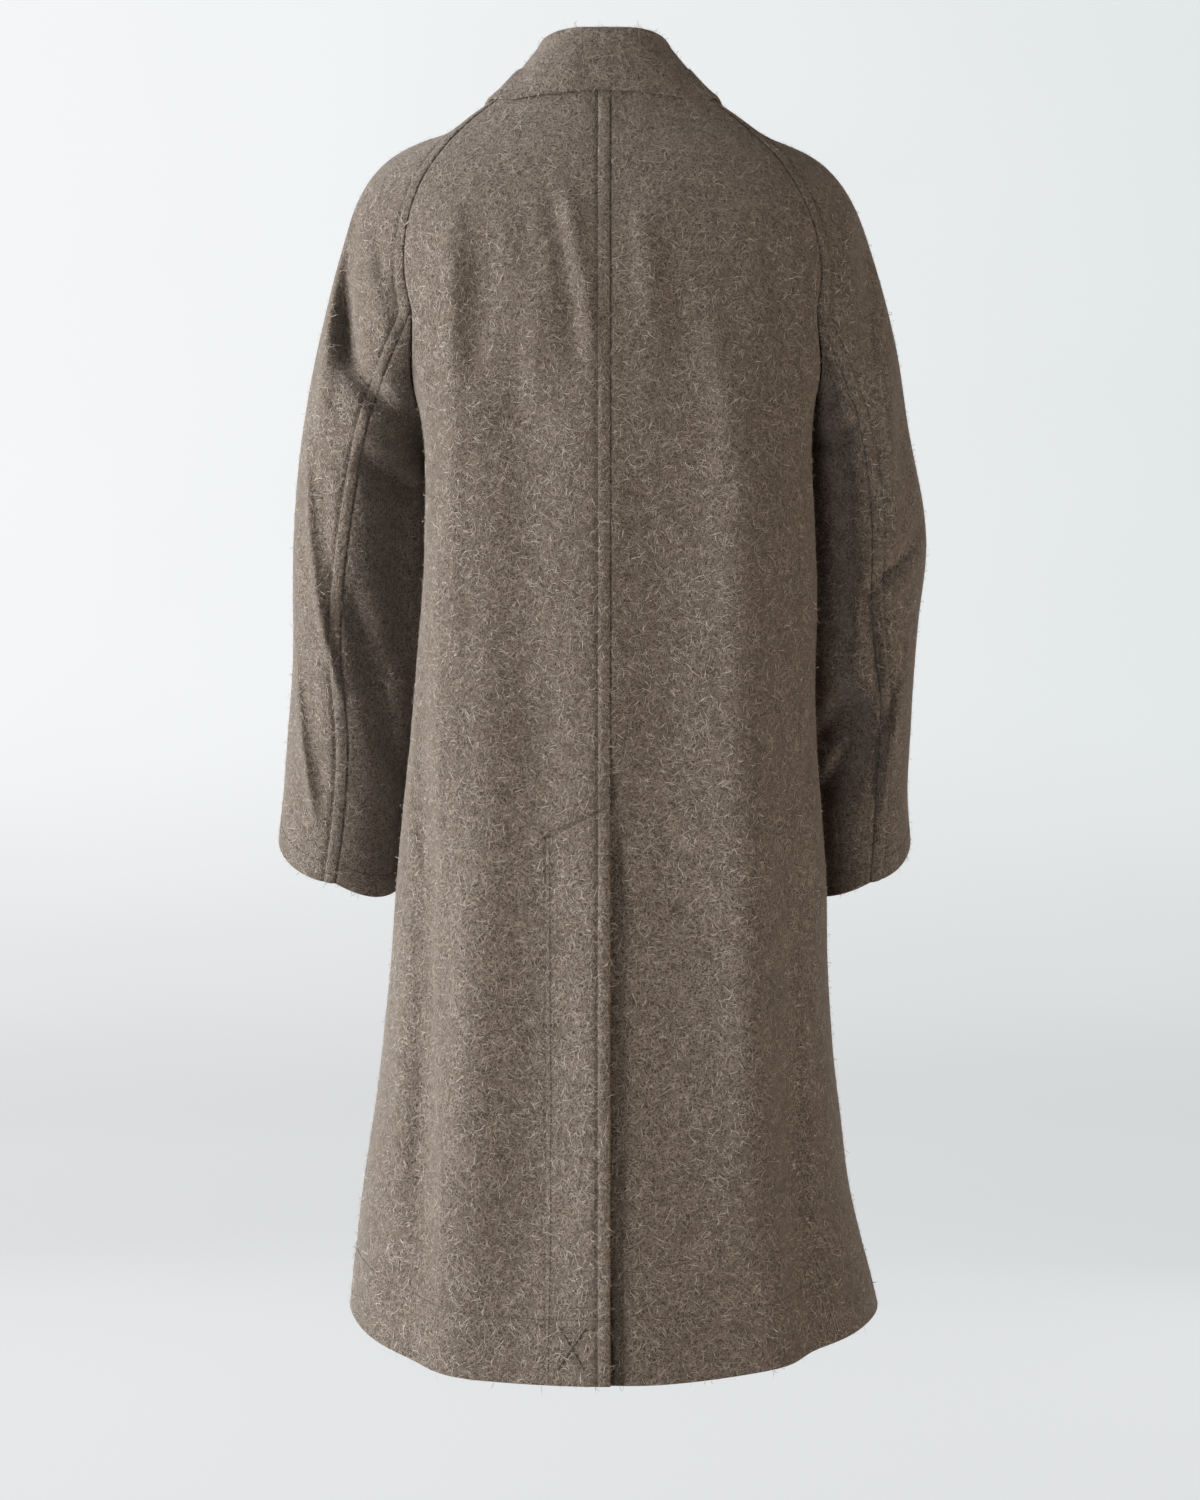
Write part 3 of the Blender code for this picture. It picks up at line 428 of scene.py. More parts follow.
# Layers of strands in the wool: how many to a metre, how wide, where the pattern starts and how patchy it is
Strand = namedtuple("Strand", "rate width offset patches")
STRANDS = (
    Strand(270.0, 0.060, (0.0, 0.0, 0.0), Pattern(60.0, 2.0, 0.36, 0.60, 0.45, 1.0)),
    Strand(350.0, 0.065, (3.1, 1.7, 5.3), Pattern(75.0, 2.0, 0.36, 0.60, 0.45, 1.0)),
    Strand(190.0, 0.040, (7.7, 4.1, 2.9), Pattern(48.0, 2.0, 0.36, 0.60, 0.45, 1.0)),
)
CURL_RATE = 75.0
CURL_REACH = (0.011, 0.011, 0.011)
STRAND_COVER = 0.85
MOTTLE_COVER = 0.6
GRAIN_HEIGHT = 0.5

# Studio, light and camera
STUDIO_FLOOR_Z = -1.50
STUDIO_FLAT = 6.0
STUDIO_CURVE = 3.0
STUDIO_HEIGHT = 5.5
STUDIO_STEPS = 96
STUDIO_CURVE_STEPS = 14
STUDIO_CENTRE = 0.001
# The span in x over which the studio's painted glow grows lighter towards the lamps; the heights where its
# paint turns to the dark floor colour; and the heights and share over which its painted glow dims to the
# floor's
GLOW_SPAN_X = (-2.6, 2.6)
PAINT_FLOOR_Z = (-1.5, -1.2)
GLOW_FLOOR_Z = (-1.5, -0.4)
GLOW_FLOOR = 0.6
Light = namedtuple("Light", "name place aim size watts colour")
LIGHTS = (
    Light("key_light", (3.1, 2.1, -0.15), (0.0, 0.0, -0.85), (1.4, 1.6), 104.0, (1.0, 0.985, 0.965)),
    Light("front_light", (1.0, 3.7, -1.25), (0.0, 0.0, -1.10), (1.2, 0.6), 32.0, (1.0, 0.98, 0.95)),
    Light("side_light", (3.6, 0.3, 0.3), (0.0, 0.0, -0.35), (1.2, 2.0), 142.0, (0.97, 0.985, 1.0)),
    Light("far_light", (-3.0, 1.5, -0.7), (0.0, 0.0, -0.95), (1.2, 1.2), 50.0, (1.0, 0.86, 0.72)),
    Light("fill_left", (1.2, -3.6, 0.3), (0.0, 0.0, -0.60), (1.4, 1.4), 52.0, (1.0, 0.985, 0.965)),
    Light("fill_right", (-1.6, -3.3, -0.4), (0.0, 0.0, -0.70), (1.4, 1.4), 22.0, (1.0, 0.96, 0.92)),
)
WORLD_COLOUR = (1.0, 0.98, 0.96, 1.0)
WORLD_STRENGTH = 0.03
CAMERA_LENS = 98.2
CAMERA_SENSOR = 36.0
CAMERA_PLACE = (0.0035, 3.6, -0.581)
CAMERA_TURN = (90.0, 0.0, 180.0)

# Creases by view and pieces, in millimetres: bowed strokes across the cloth, raised where depth is positive
Crease = namedtuple("Crease", "across_from up_from across_to up_to bow width depth")
CREASE_STARTS = (-0.06, 0.24)
CREASE_ENDS = (0.76, 1.06)
CREASE_SEEN = (-0.1, 0.45)
CREASES = {
    ("back", "sleeve_left"): (
        # Left sleeve from behind: the hollow that runs down from the shoulder and in under the arm
        (218, -114, 218, -257, 5, 7.8, -13.0),
        (225, -184, 169, -296, 20, 10.4, -17.0),
        (202, -145, 183, -235, 3, 8.6, 5.5),
        (197, -130, 189, -184, 2, 4.3, -3.0),
        (232, -127, 244, -313, 3, 7.8, 11.0),
        # Left sleeve: the fold under the arm, the deep hollow beside the body and the slanting one below it
        (219, -306, 169, -325, 0, 7.8, 7.0),
        (213, -329, 156, -351, 5, 8.6, -12.0),
        (180, -313, 181, -529, -3, 19.0, -21.0),
        (221, -434, 176, -616, 0, 11.2, -16.0),
        (199, -425, 178, -503, -1, 7.8, 3.0),
        (188, -611, 195, -693, -2, 10.4, -4.5),
        # Left sleeve: sharp creases down the outside
        (255, -304, 224, -546, 11, 3.5, 7.0),
        (242, -335, 228, -503, 3, 5.2, -3.0),
        (269, -495, 251, -650, 3, 3.5, 7.0),
        (256, -508, 244, -624, 1, 6.0, -3.2),
    ),
    ("back", "sleeve_right"): (
        # Right sleeve from behind: the fold under the arm and the hollow beside the body
        (-180, -297, -219, -287, 4, 6.0, 8.0),
        (-180, -316, -219, -307, 4, 6.9, -15.0),
        (-197, -313, -202, -503, 2, 13.8, -13.0),
        # Right sleeve: the ridge above the elbow and the folds that meet there
        (-248, -235, -251, -405, 3, 7.8, 6.5),
        (-260, -244, -265, -391, 3, 8.0, -6.5),
        (-283, -375, -228, -442, -4, 6.6, -11.5),
        (-283, -405, -240, -457, -1, 6.9, 6.0),
        (-226, -438, -238, -538, 0, 7.8, -4.2),
        # Right sleeve: the hollow above the cuff and the ridges beside it
        (-222, -530, -186, -578, -2, 13.8, -19.0),
        (-229, -548, -188, -638, -5, 11.0, -19.0),
        (-268, -486, -244, -637, 3, 5.2, 6.0),
        (-252, -521, -237, -624, 2, 5.2, -3.2),
        (-209, -110, -211, -231, -3, 7.8, 5.0),
        (-228, -127, -225, -253, -4, 6.9, -9.0),
    ),
    ("back", "back"): (
        # Back: folds that hang from the shoulder blades
        (130, -109, 131, -252, -2, 10.1, 4.4),
        (111, -151, 113, -294, -4, 12.6, -3.4),
        (88, -109, 74, -227, 1, 11.0, 2.0),
        (69, -126, 50, -202, 2, 11.8, -0.8),
        (62, -185, 60, -294, -2, 11.0, 2.6),
        (44, -109, 25, -269, -2, 10.1, -3.8),
        (37, -92, 7, -261, -2, 9.3, 4.4),
        (-30, -117, -40, -227, 0, 10.1, 3.4),
        (-57, -134, -61, -286, -4, 13.5, -4.0),
        (-83, -193, -112, -345, -2, 11.8, 3.2),
        (-143, -134, -154, -303, -1, 10.1, -3.4),
        # Back: long folds of the skirt and the edges beside the sleeves
        (130, -238, 132, -706, -1, 9.2, 4.5),
        (150, -606, 155, -1024, 1, 12.5, -11.0),
        (140, -640, 135, -1016, 1, 5.0, 5.0),
        (142, -389, 140, -706, 0, 5.0, 5.5),
        (154, -472, 154, -690, 2, 7.5, -9.0),
        (62, -202, 58, -640, 4, 35.4, -11.0),
        (58, -522, 49, -1091, 0, 35.1, -9.0),
        (-112, -205, -122, -1041, -4, 30.1, 16.0),
        (-38, -288, -43, -1041, -3, 30.1, -7.0),
        (-144, -690, -151, -1041, 0, 5.0, 4.0),
        (-159, -706, -169, -1041, 2, 6.7, -5.0),
        (-182, -589, -186, -757, 1, 5.0, 3.5),
    ),
    ("front", "sleeve_left"): (
        # Sleeves from the front: the same heavy folds at the elbow
        (205, -395, 255, -425, 4, 11.0, 4.0),
        (198, -425, 252, -462, 4, 11.5, -4.6),
        (215, -470, 262, -492, 3, 12.0, 3.0),
        (240, -220, 250, -380, 6, 10.8, -5.8),
    ),
    ("front", "sleeve_right"): (
        (-200, -385, -256, -420, 4, 11.0, 4.2),
        (-198, -420, -250, -452, 3, 11.0, -4.6),
        (-212, -462, -258, -480, 3, 12.0, 3.0),
        (-236, -215, -252, -360, -5, 10.8, -5.8),
    ),
    ("front", "front"): (
        # Front: drags from the armholes to the closing, and long soft folds of the skirt
        (150, -200, 120, -330, 4, 12.0, 3.8),
        (-152, -205, -124, -345, -4, 12.0, 3.8),
        (130, -400, 75, -440, -4, 12.0, 2.7),
        (100, -640, 116, -1080, 4, 18.0, 4.1),
        (-128, -640, -140, -1080, -4, 18.0, 4.1),
        (40, -700, 46, -1090, 2, 22.0, -3.2),
    ),
}


# Reading the tables

def smooth(low, high, at):
    """0 where at is at low, 1 where it is at high, eased between."""
    t = np.clip((np.asarray(at, float) - low) / (high - low), 0.0, 1.0)
    return t * t * (3.0 - 2.0 * t)


def spline(keys, values, at):
    """Smooth values between rows, from slopes that follow the neighbouring rows."""
    keys = np.asarray(keys, float)
    values = np.asarray(values, float).reshape(len(keys), -1)
    if keys[0] > keys[-1]:
        keys = keys[::-1]
        values = values[::-1]
    slopes = np.gradient(values, keys, axis=0)
    at = np.clip(np.asarray(at, float), keys[0], keys[-1])
    low = np.clip(np.searchsorted(keys, at) - 1, 0, len(keys) - 2)
    span = (keys[low + 1] - keys[low])[..., None]
    t = ((at - keys[low])[..., None]) / span
    result = ((1 + 2 * t) * (1 - t) ** 2 * values[low] + t * (1 - t) ** 2 * span * slopes[low]
              + t * t * (3 - 2 * t) * values[low + 1] + t * t * (t - 1) * span * slopes[low + 1])
    return result[..., 0] if values.shape[1] == 1 else result


def column(rows, key, name, at):
    """One named column of a table, read at values of its key column."""
    return spline([getattr(row, key) for row in rows], [getattr(row, name) for row in rows], at)


def unit(vectors):
    lengths = np.linalg.norm(vectors, axis=-1, keepdims=True)
    return vectors / np.maximum(lengths, TINY)


def lengths_along(rows):
    """Distance of each point of each row from the row's start."""
    steps = np.linalg.norm(np.diff(rows, axis=1), axis=-1)
    return np.concatenate([np.zeros((len(rows), 1)), np.cumsum(steps, axis=1)], axis=1)


def read_at(values, keys, at):
    """Vectors that are given at rising keys, read at other places between them."""
    return np.stack([np.interp(at, keys, values[:, axis]) for axis in range(3)], axis=-1)


def respaced(rows, middle, beyond_edge=()):
    """Rows divided anew: closely at both ends, which are sewn or free, and evenly between."""
    made = []
    for row, length in zip(rows, lengths_along(rows)):
        total = length[-1]
        edge = EDGE_STEPS * min(1.0, EDGE_MOST * total / EDGE_STEPS[-1])
        first = np.concatenate([EDGE_STEPS, beyond_edge])
        first = first * min(1.0, FACING_MOST * total / first[-1]) if len(beyond_edge) else edge
        last = total - edge[::-1]
        between = np.linspace(first[-1], last[0], middle + 2)[1:-1]
        made.append(read_at(row, length, np.concatenate([first, between, last])))
    return np.array(made)


# The body's surface

def sided(name, is_left, z):
    """A column of the body's rings that differs between left and right."""
    return np.where(is_left, column(TORSO, "z", name + "_left", z), column(TORSO, "z", name + "_right", z))


def ring(angle, z):
    """A point of the body's rings before its folds: x and y at an angle from the centre back."""
    turn = (angle + 180.0) % 360.0 - 180.0
    is_left = turn >= 0.0
    is_back = np.abs(turn) <= 90.0
    half = sided("half", is_left, z)
    depth = np.where(is_back, column(TORSO, "z", "back", z), -column(TORSO, "z", "front", z))
    square = np.where(is_back, column(TORSO, "z", "square_back", z), column(TORSO, "z", "square_front", z))
    bend = np.radians(np.abs(turn))
    x = half * np.abs(np.sin(bend)) ** (2.0 / square)
    y = depth * np.abs(np.cos(bend)) ** (2.0 / square)
    press = sided("press", is_left, z)
    x = x * (1.0 - press * np.exp(-((y - column(TORSO, "z", "arm_y", z)) / ARM_REACH) ** 2))
    return np.where(is_left, x, -x), y


def fold_depth(angle, z):
    """How far the folds stand out of the rings."""
    turn = (angle + 180.0) % 360.0 - 180.0
    total = np.zeros_like(turn)
    for fold in FOLDS:
        centre = fold.angle_high + (fold.angle_low - fold.angle_high) * smooth(fold.z_high, fold.z_full, z)
        fade = smooth(fold.z_high, fold.z_full, z) * (1.0 - smooth(fold.z_full, fold.z_low, z))
        total = total + fold.depth * fade * np.exp(-((turn - centre) / fold.width) ** 2)
    return total


def hem_rise(angle, z):
    """How much higher the hem hangs at the sides and the front than at the centre back."""
    bend = np.radians(angle)
    curve = np.where(np.sin(bend) >= 0.0, HEM_CURVE_LEFT, HEM_CURVE_RIGHT)
    rise = HEM_RISE_SIDE * np.abs(np.sin(bend)) ** curve + HEM_RISE_FRONT * (1.0 - np.cos(bend)) / 2.0
    return rise * smooth(HEM_RISE_FROM_Z, HEM_Z, z)


def torso(angle, z, inset=0.0):
    """A point on the outside of the body, moved in where it passes under another panel."""
    angle, z = np.broadcast_arrays(np.asarray(angle, float), np.asarray(z, float))
    x, y = ring(angle, z)
    x_before, y_before = ring(angle - RING_TURN, z)
    x_after, y_after = ring(angle + RING_TURN, z)
    out = unit(np.stack([y_before - y_after, x_after - x_before], axis=-1))
    move = fold_depth(angle, z) - inset
    return np.stack([x + out[..., 0] * move, y + out[..., 1] * move, z + hem_rise(angle, z)], axis=-1)


def torso_normal(angle, z):
    """Direction out of the body's surface."""
    turned = torso(angle + NORMAL_TURN, z) - torso(angle - NORMAL_TURN, z)
    lowered = torso(angle, z - NORMAL_DROP) - torso(angle, z + NORMAL_DROP)
    return unit(np.cross(turned, lowered))


def angle_at(x, z, is_back):
    """The angle of the ring at height z where it reaches x."""
    half = sided("half", x >= 0.0, z)
    square = column(TORSO, "z", "square_back" if is_back else "square_front", z)
    bend = np.degrees(np.arcsin(np.clip(np.abs(x) / half, 0.0, 1.0) ** (square / 2.0)))
    return np.sign(x) * (bend if is_back else 180.0 - bend)


# Seams and body panels

def raglan_edge(side, place, along, sweep):
    """Heights and angles of a raglan seam from the neck, and then round the armhole to the armpit."""
    sign = 1.0 if side == "left" else -1.0
    z = column(RAGLAN, "along", place + "_z", along)
    x = column(RAGLAN, "along", "back_" + side if place == "back" else "front_x", along)
    angle = angle_at(sign * x, z, place == "back")
    armhole_z = z[-1] + (ARMPIT_Z - z[-1]) * (1.0 - (1.0 - sweep) ** ARMHOLE_DROP)
    armhole_angle = angle[-1] + (sign * 90.0 - angle[-1]) * sweep ** ARMHOLE_SWEEP
    return np.concatenate([z, armhole_z]), np.concatenate([angle, armhole_angle])


def roll_x(z):
    """Distance from the centre of the roll line, which becomes the front edge below the break."""
    along = np.clip((ROLL_TOP_Z - z) / (ROLL_TOP_Z - BREAK_Z), 0.0, 1.0)
    return ROLL_TOP_X + (-FRONT_OVERLAP - ROLL_TOP_X) * along


def panel_rows(side, place):
    """Heights of a body panel's rows and the angle of its seam edge in each, closely spaced at the hem."""
    sign = 1.0 if side == "left" else -1.0
    along = np.linspace(0.0, 1.0, RAGLAN_ROWS + 1)
    sweep = np.linspace(0.0, 1.0, ARMHOLE_ROWS + 1)[1:]
    z, seam = raglan_edge(side, place, along, sweep)
    skirt = np.linspace(ARMPIT_Z, HEM_Z + EDGE_STEPS[-1], SKIRT_ROWS + 1)[1:]
    if place == "back":
        skirt = np.sort(np.concatenate([skirt, VENT_TOP_Z + VENT_ROWS]))[::-1]
    hem = HEM_Z + EDGE_STEPS[::-1][1:]
    below = np.concatenate([skirt, hem])
    return np.concatenate([z, below]), np.concatenate([seam, np.full_like(below, sign * 90.0)])


def under_front_inset(x, z):
    """How deep the right front and its lapel lie under the left front."""
    edge = roll_x(z)
    depth = LAP_INSET + (LAPEL_INSET - LAP_INSET) * smooth(*LAPEL_INSET_Z, z)
    return depth * smooth(edge - LAP_RAMP[0], edge - LAP_RAMP[1], x)


def under_back_inset(x, z):
    """How deep the right back lies under the left back, most of all along the vent."""
    near_edge = smooth(VENT_INSET_FROM_X, CENTRE_BACK_X - VENT_INSET_OFF_EDGE, x)
    below_top = smooth(VENT_TOP_Z + VENT_INSET_ABOVE[0], VENT_TOP_Z + VENT_INSET_ABOVE[1], z)
    return VENT_INSET * near_edge * below_top


def back_panel(side):
    rows = []
    for z, seam in zip(*panel_rows(side, "back")):
        if side == "left":
            angles = np.linspace(float(angle_at(CENTRE_BACK_X, z, True)), seam, DENSE)
            rows.append(torso(angles, z))
        else:
            underlap = VENT_UNDERLAP * np.clip((VENT_TOP_Z - z) / VENT_SLANT, 0.0, 1.0)
            angles = np.linspace(seam, float(angle_at(CENTRE_BACK_X + underlap, z, True)), DENSE)
            rows.append(torso(angles, z, under_back_inset(ring(angles, z)[0], z)))
    if side == "left":
        return respaced(np.array(rows), BODY_MIDDLE - len(FACING_STEPS) // 2, FACING_STEPS)
    return respaced(np.array(rows), BODY_MIDDLE)


def front_angle(side, z):
    """Angle of the front edge of a front panel, which passes the centre below the lapels."""
    x = roll_x(z) if side == "left" else -roll_x(z)
    angle = float(angle_at(x, z, False))
    if side == "left":
        return angle % 360.0 if x != 0.0 else 180.0
    return -((-angle) % 360.0) if x != 0.0 else -180.0


def front_panel(side):
    rows = []
    for z, seam in zip(*panel_rows(side, "front")):
        if side == "left":
            angles = np.linspace(seam, front_angle(side, z), DENSE)
            rows.append(torso(angles, z))
        else:
            angles = np.linspace(front_angle(side, z), seam, DENSE)
            rows.append(torso(angles, z, under_front_inset(ring(angles, z)[0], z)))
    return respaced(np.array(rows), BODY_MIDDLE)


# Sleeves

def bezier(start, start_handle, end_handle, end):
    t = np.linspace(0.0, 1.0, DENSE // 2)[:, None]
    return ((1 - t) ** 3 * start + 3 * t * (1 - t) ** 2 * start_handle
            + 3 * t * t * (1 - t) * end_handle + t ** 3 * end)


def arch(back, crown, front, back_handle, front_handle):
    """A section of the upper sleeve: from the back edge over the crown to the front edge."""
    across = unit(front - back)
    behind = crown - across * QUARTER * np.dot(crown - back, across)
    ahead = crown + across * QUARTER * np.dot(front - crown, across)
    rear = bezier(back, back + back_handle, behind, crown)
    fore = bezier(crown, ahead, front + front_handle, front)
    return np.concatenate([rear, fore[1:]])


def seam_handle(edge, crown, normal, along):
    """A handle that leaves the raglan seam along the body towards the crown, short near the neck."""
    towards = crown - edge
    direction = unit(towards - normal * np.dot(towards, normal))
    share = NECK_HANDLE + (SEAM_HANDLE - NECK_HANDLE) * smooth(0.0, HANDLE_GROWN, along)
    return direction * np.linalg.norm(towards) * share


def mirrored(side, vectors):
    return np.asarray(vectors, float) * np.array([1.0 if side == "left" else -1.0, 1.0, 1.0])


def armhole(side, count):
    """Points round the lower armhole from the back seam by the armpit to the front seam."""
    sweep = np.linspace(0.0, 1.0, count + 1)
    halves = []
    for place in ("back", "front"):
        z, angle = raglan_edge(side, place, np.array([0.0, 1.0]), sweep[1:])
        halves.append(torso(angle, z)[1:])
    return np.concatenate([halves[0], halves[1][::-1][1:]])


def tube_rows():
    """Places of the rows from the armhole to the cuff, closely spaced at the cuff."""
    edge = EDGE_STEPS / TUBE_LENGTH
    return np.concatenate([np.linspace(0.0, 1.0 - edge[-1], TUBE_ROWS + 1), 1.0 - edge[::-1][1:]])


def sleeve_lines(side, along):
    """Crown, back, front and inner lines of the sleeve below the armhole."""
    rim = armhole(side, ARMHOLE_ROWS)
    table = SLEEVES[side]
    stations = [0.0] + [row.along for row in table]
    keys = [row.along - 1.0 for row in RAGLAN] + [CROWN_RATE * row.along for row in table]
    crowns = [mirrored(side, getattr(row, "crown_" + side)) for row in RAGLAN]
    crowns += [mirrored(side, row.crown) for row in table]
    backs = [rim[0]] + [mirrored(side, row.back) for row in table]
    fronts = [rim[-1]] + [mirrored(side, row.front) for row in table]
    inners = [rim[ARMHOLE_ROWS]] + [mirrored(side, row.inner) for row in table]
    upper = spline(keys, crowns, np.linspace(-1.0, 0.0, RAGLAN_ROWS + 1))
    lower = spline(keys, crowns, CROWN_RATE * along)
    return (upper, lower, spline(stations, backs, along), spline(stations, fronts, along),
            spline(stations, inners, along), rim)


def top_sleeve(side):
    along = tube_rows()
    upper, lower, back, front, _, _ = sleeve_lines(side, along)
    raglan = np.linspace(0.0, 1.0, RAGLAN_ROWS + 1)
    shares = np.concatenate([raglan, 1.0 + along[1:]])
    crowns = np.concatenate([upper, lower[1:]])
    edges = []
    normals = []
    for place, below in (("back", back), ("front", front)):
        z, angle = raglan_edge(side, place, raglan, np.zeros(0))
        edges.append(np.concatenate([torso(angle, z), below[1:]]))
        normals.append(torso_normal(angle, z))
    rows = []
    for step, (share, crown) in enumerate(zip(shares, crowns)):
        ends = [edge[step] for edge in edges]
        round_handle = QUARTER * (crown - (ends[0] + ends[1]) / 2.0)
        pace = RAGLAN_PACE * min(share, 1.0) + TUBE_PACE * max(share - 1.0, 0.0)
        follow = 1.0 - smooth(FOLLOW_FULL * RAGLAN_PACE, RAGLAN_PACE + FOLLOW_PAST * TUBE_PACE, pace)
        handles = [follow * seam_handle(end, crown, normal[min(step, RAGLAN_ROWS)], share)
                   + (1.0 - follow) * round_handle for end, normal in zip(ends, normals)]
        section = arch(ends[0], crown, ends[1], *handles)
        rows.append(section if side == "left" else section[::-1])
    return respaced(np.array(rows), SLEEVE_MIDDLE)


def under_sleeve(side):
    along = tube_rows()
    _, _, back, front, inner, rim = sleeve_lines(side, along)
    turn = np.linspace(0.0, math.pi, len(rim))[:, None]
    rows = []
    for step, share in enumerate(along):
        middle = (back[step] + front[step]) / 2.0
        section = middle + (back[step] - middle) * np.cos(turn) + (inner[step] - middle) * np.sin(turn)
        if step == 0:
            start = section
        section = section + (rim - start) * (1.0 - smooth(0.0, RIM_FADE, share))
        rows.append(section[::-1] if side == "left" else section)
    return respaced(np.array(rows), UNDER_MIDDLE)


# Collar and lapels

def surface_of(grids):
    """The outer surfaces of several panels as one tree for finding the nearest point."""
    points = []
    faces = []
    for grid in grids:
        corners = quads(grid.shape[0], grid.shape[1]) + len(points)
        points += grid.reshape(-1, 3).tolist()
        faces += corners.tolist()
    return BVHTree.FromPolygons(points, faces)


def quads(count_rows, count_columns):
    """Corner numbers of the faces of a grid, turned outwards."""
    index = np.arange(count_rows * count_columns).reshape(count_rows, count_columns)
    return np.stack([index[:-1, :-1], index[:-1, 1:], index[1:, 1:], index[1:, :-1]], axis=-1).reshape(-1, 4)


def resting_on(points, surface, clearance):
    """Points moved out where they would lie closer to a surface than the clearance."""
    moved = []
    for point in points:
        place, normal, _, distance = surface.find_nearest(Vector(point))
        below = (Vector(point) - place).dot(normal) < 0.0 and distance < 2.0 * clearance
        moved.append(np.array(place + normal * clearance) if below or distance < clearance else point)
    return np.array(moved)


def eased(rows):
    """Rows with their kinks spread over their neighbours."""
    for _ in range(COLLAR_EASINGS):
        rows[1:-1] = (rows[:-2] + 2.0 * rows[1:-1] + rows[2:]) / 4.0
    return rows


def collar(surface):
    """The collar's visible side: up the stand, over the roll and down the fall, from left to right."""
    along = np.linspace(1.0, -1.0, 2 * COLLAR_HALF_ROWS + 1)
    to_side = np.stack([np.where(along < 0.0, -1.0, 1.0), np.ones_like(along), np.ones_like(along)], axis=-1)
    seam = column(COLLAR, "along", "seam", np.abs(along)) * to_side
    fold = column(COLLAR, "along", "fold", np.abs(along)) * to_side
    edge = column(COLLAR, "along", "edge", np.abs(along)) * to_side
    rise = np.linspace(0.0, 1.0, COLLAR_STAND_POINTS + 1)[:-1, None]
    turn = np.linspace(math.pi, 0.0, COLLAR_ROLL_POINTS + 1)[:, None]
    drop = np.concatenate([np.linspace(0.0, COLLAR_FALL_EVEN, COLLAR_FALL_POINTS)[1:],
                           COLLAR_EDGE_SHARES])[:, None]
    up = np.array([0.0, 0.0, 1.0])
    standing = []
    falling = []
    for low, top, rim in zip(seam, fold, edge):
        out = unit((rim - top) * np.array([1.0, 1.0, 0.0]))
        centre = top - up * COLLAR_ROLL
        stand_top = centre - out * COLLAR_ROLL
        fall_top = centre + out * COLLAR_ROLL
        stand = low + (stand_top - low) * rise
        roll = centre + COLLAR_ROLL * (out * np.cos(turn) + up * np.sin(turn))
        bow = np.linalg.norm(rim - fall_top) * COLLAR_BOW
        bowed = (out + COLLAR_BOW_UP * up) * bow * 4.0 * drop * (1.0 - drop)
        fall = fall_top + (rim - fall_top) * drop + bowed
        standing.append(np.concatenate([stand, roll]))
        falling.append(resting_on(fall, surface, COLLAR_CLOTH + COLLAR_CLEARANCE))
    falling = eased(np.array(falling))
    falling = np.array([resting_on(row, surface, COLLAR_CLOTH + COLLAR_CLEARANCE) for row in falling])
    return np.concatenate([np.array(standing), falling], axis=1)


def chest(side, x, z, lift):
    """A point over the chest of one front, moved out from its surface."""
    position = x if side == "left" else -x
    angle = np.array([float(angle_at(at, height, False)) if at != 0.0 else 180.0
                      for at, height in zip(position, z)])
    inset = under_front_inset(position, z) if side == "right" else 0.0
    return torso(angle, z, inset) + torso_normal(angle, z) * lift


def lapel(side):
    """The turned-back lapel laid over its own front, with the roll that joins it to the front's edge."""
    lengthwise = np.linspace(0.0, 1.0, LAPEL_ROWS + 1)
    spread = np.linspace(0.0, 1.0, LAPEL_COLUMNS + 1)
    crosswise = spread ** LAPEL_SPREAD
    lowest = BREAK_Z + LAPEL_ABOVE_BREAK if side == "left" else LAPEL_RIGHT_LOW_Z
    roll_z = LAPEL_TOP[1] + (lowest - LAPEL_TOP[1]) * lengthwise
    roll = np.stack([roll_x(roll_z) + LAPEL_OFF_ROLL, roll_z], axis=-1)
    if side == "right":
        roll[:, 0] = np.maximum(roll[:, 0], -roll_x(roll_z) - LAPEL_RIGHT_UNDER)
    end = roll[-1] + np.array(LAPEL_END)
    outer = np.array(LAPEL_POINT) + (end - np.array(LAPEL_POINT)) * lengthwise[:, None]
    outer[:, 0] += LAPEL_BELLY * np.sin(math.pi * lengthwise)
    top = np.array([np.interp(crosswise, (0.0, 0.5, 1.0), (LAPEL_TOP[i], LAPEL_NOTCH[i], LAPEL_POINT[i]))
                    for i in (0, 1)]).T
    top[0] = roll[0]
    straight = top[0] + (top[-1] - top[0]) * crosswise[:, None]
    rows = []
    for step, share in enumerate(lengthwise):
        flat = roll[step] + (outer[step] - roll[step]) * crosswise[:, None]
        flat = flat + (top - straight) * (1.0 - share)
        row = chest(side, flat[:, 0], flat[:, 1], LAPEL_LIFT)
        normal = unit(row[1] - chest(side, flat[1:2, 0], flat[1:2, 1], 0.0)[0])
        away = unit(row[0] - row[1])
        turn = np.linspace(-0.5 * math.pi, 0.5 * math.pi, LAPEL_ROLL_POINTS)[:-1, None]
        centre = row[0] - normal * LAPEL_ROLL
        rolled = centre + LAPEL_ROLL * (away * np.cos(turn) + normal * np.sin(turn))
        row = np.concatenate([rolled, row])
        rows.append(row[::-1] if side == "left" else row)
    return np.array(rows)


# Shaping the cloth: edges, seams and creases

def grid_normals(grid):
    """Directions out of a grid whose columns cross its rows clockwise when seen from inside."""
    return unit(np.cross(np.gradient(grid, axis=1), np.gradient(grid, axis=0)))


def edge_distances(grid):
    """Distance of each point of a grid from its four edges, along the cloth."""
    along = lengths_along(grid)
    down = lengths_along(grid.transpose(1, 0, 2)).T
    return {"start": along, "end": along[:, -1:] - along, "top": down, "bottom": down[-1:] - down}


def bump(distance, width):
    return np.exp(-(distance / width) ** 2)


def rounding(distance, thickness):
    """How far each face of the cloth turns towards its middle near a free edge."""
    radius = 0.5 * thickness
    out = np.clip(1.0 - distance / radius, 0.0, 1.0)
    return radius * (1.0 - np.sqrt(1.0 - out * out))


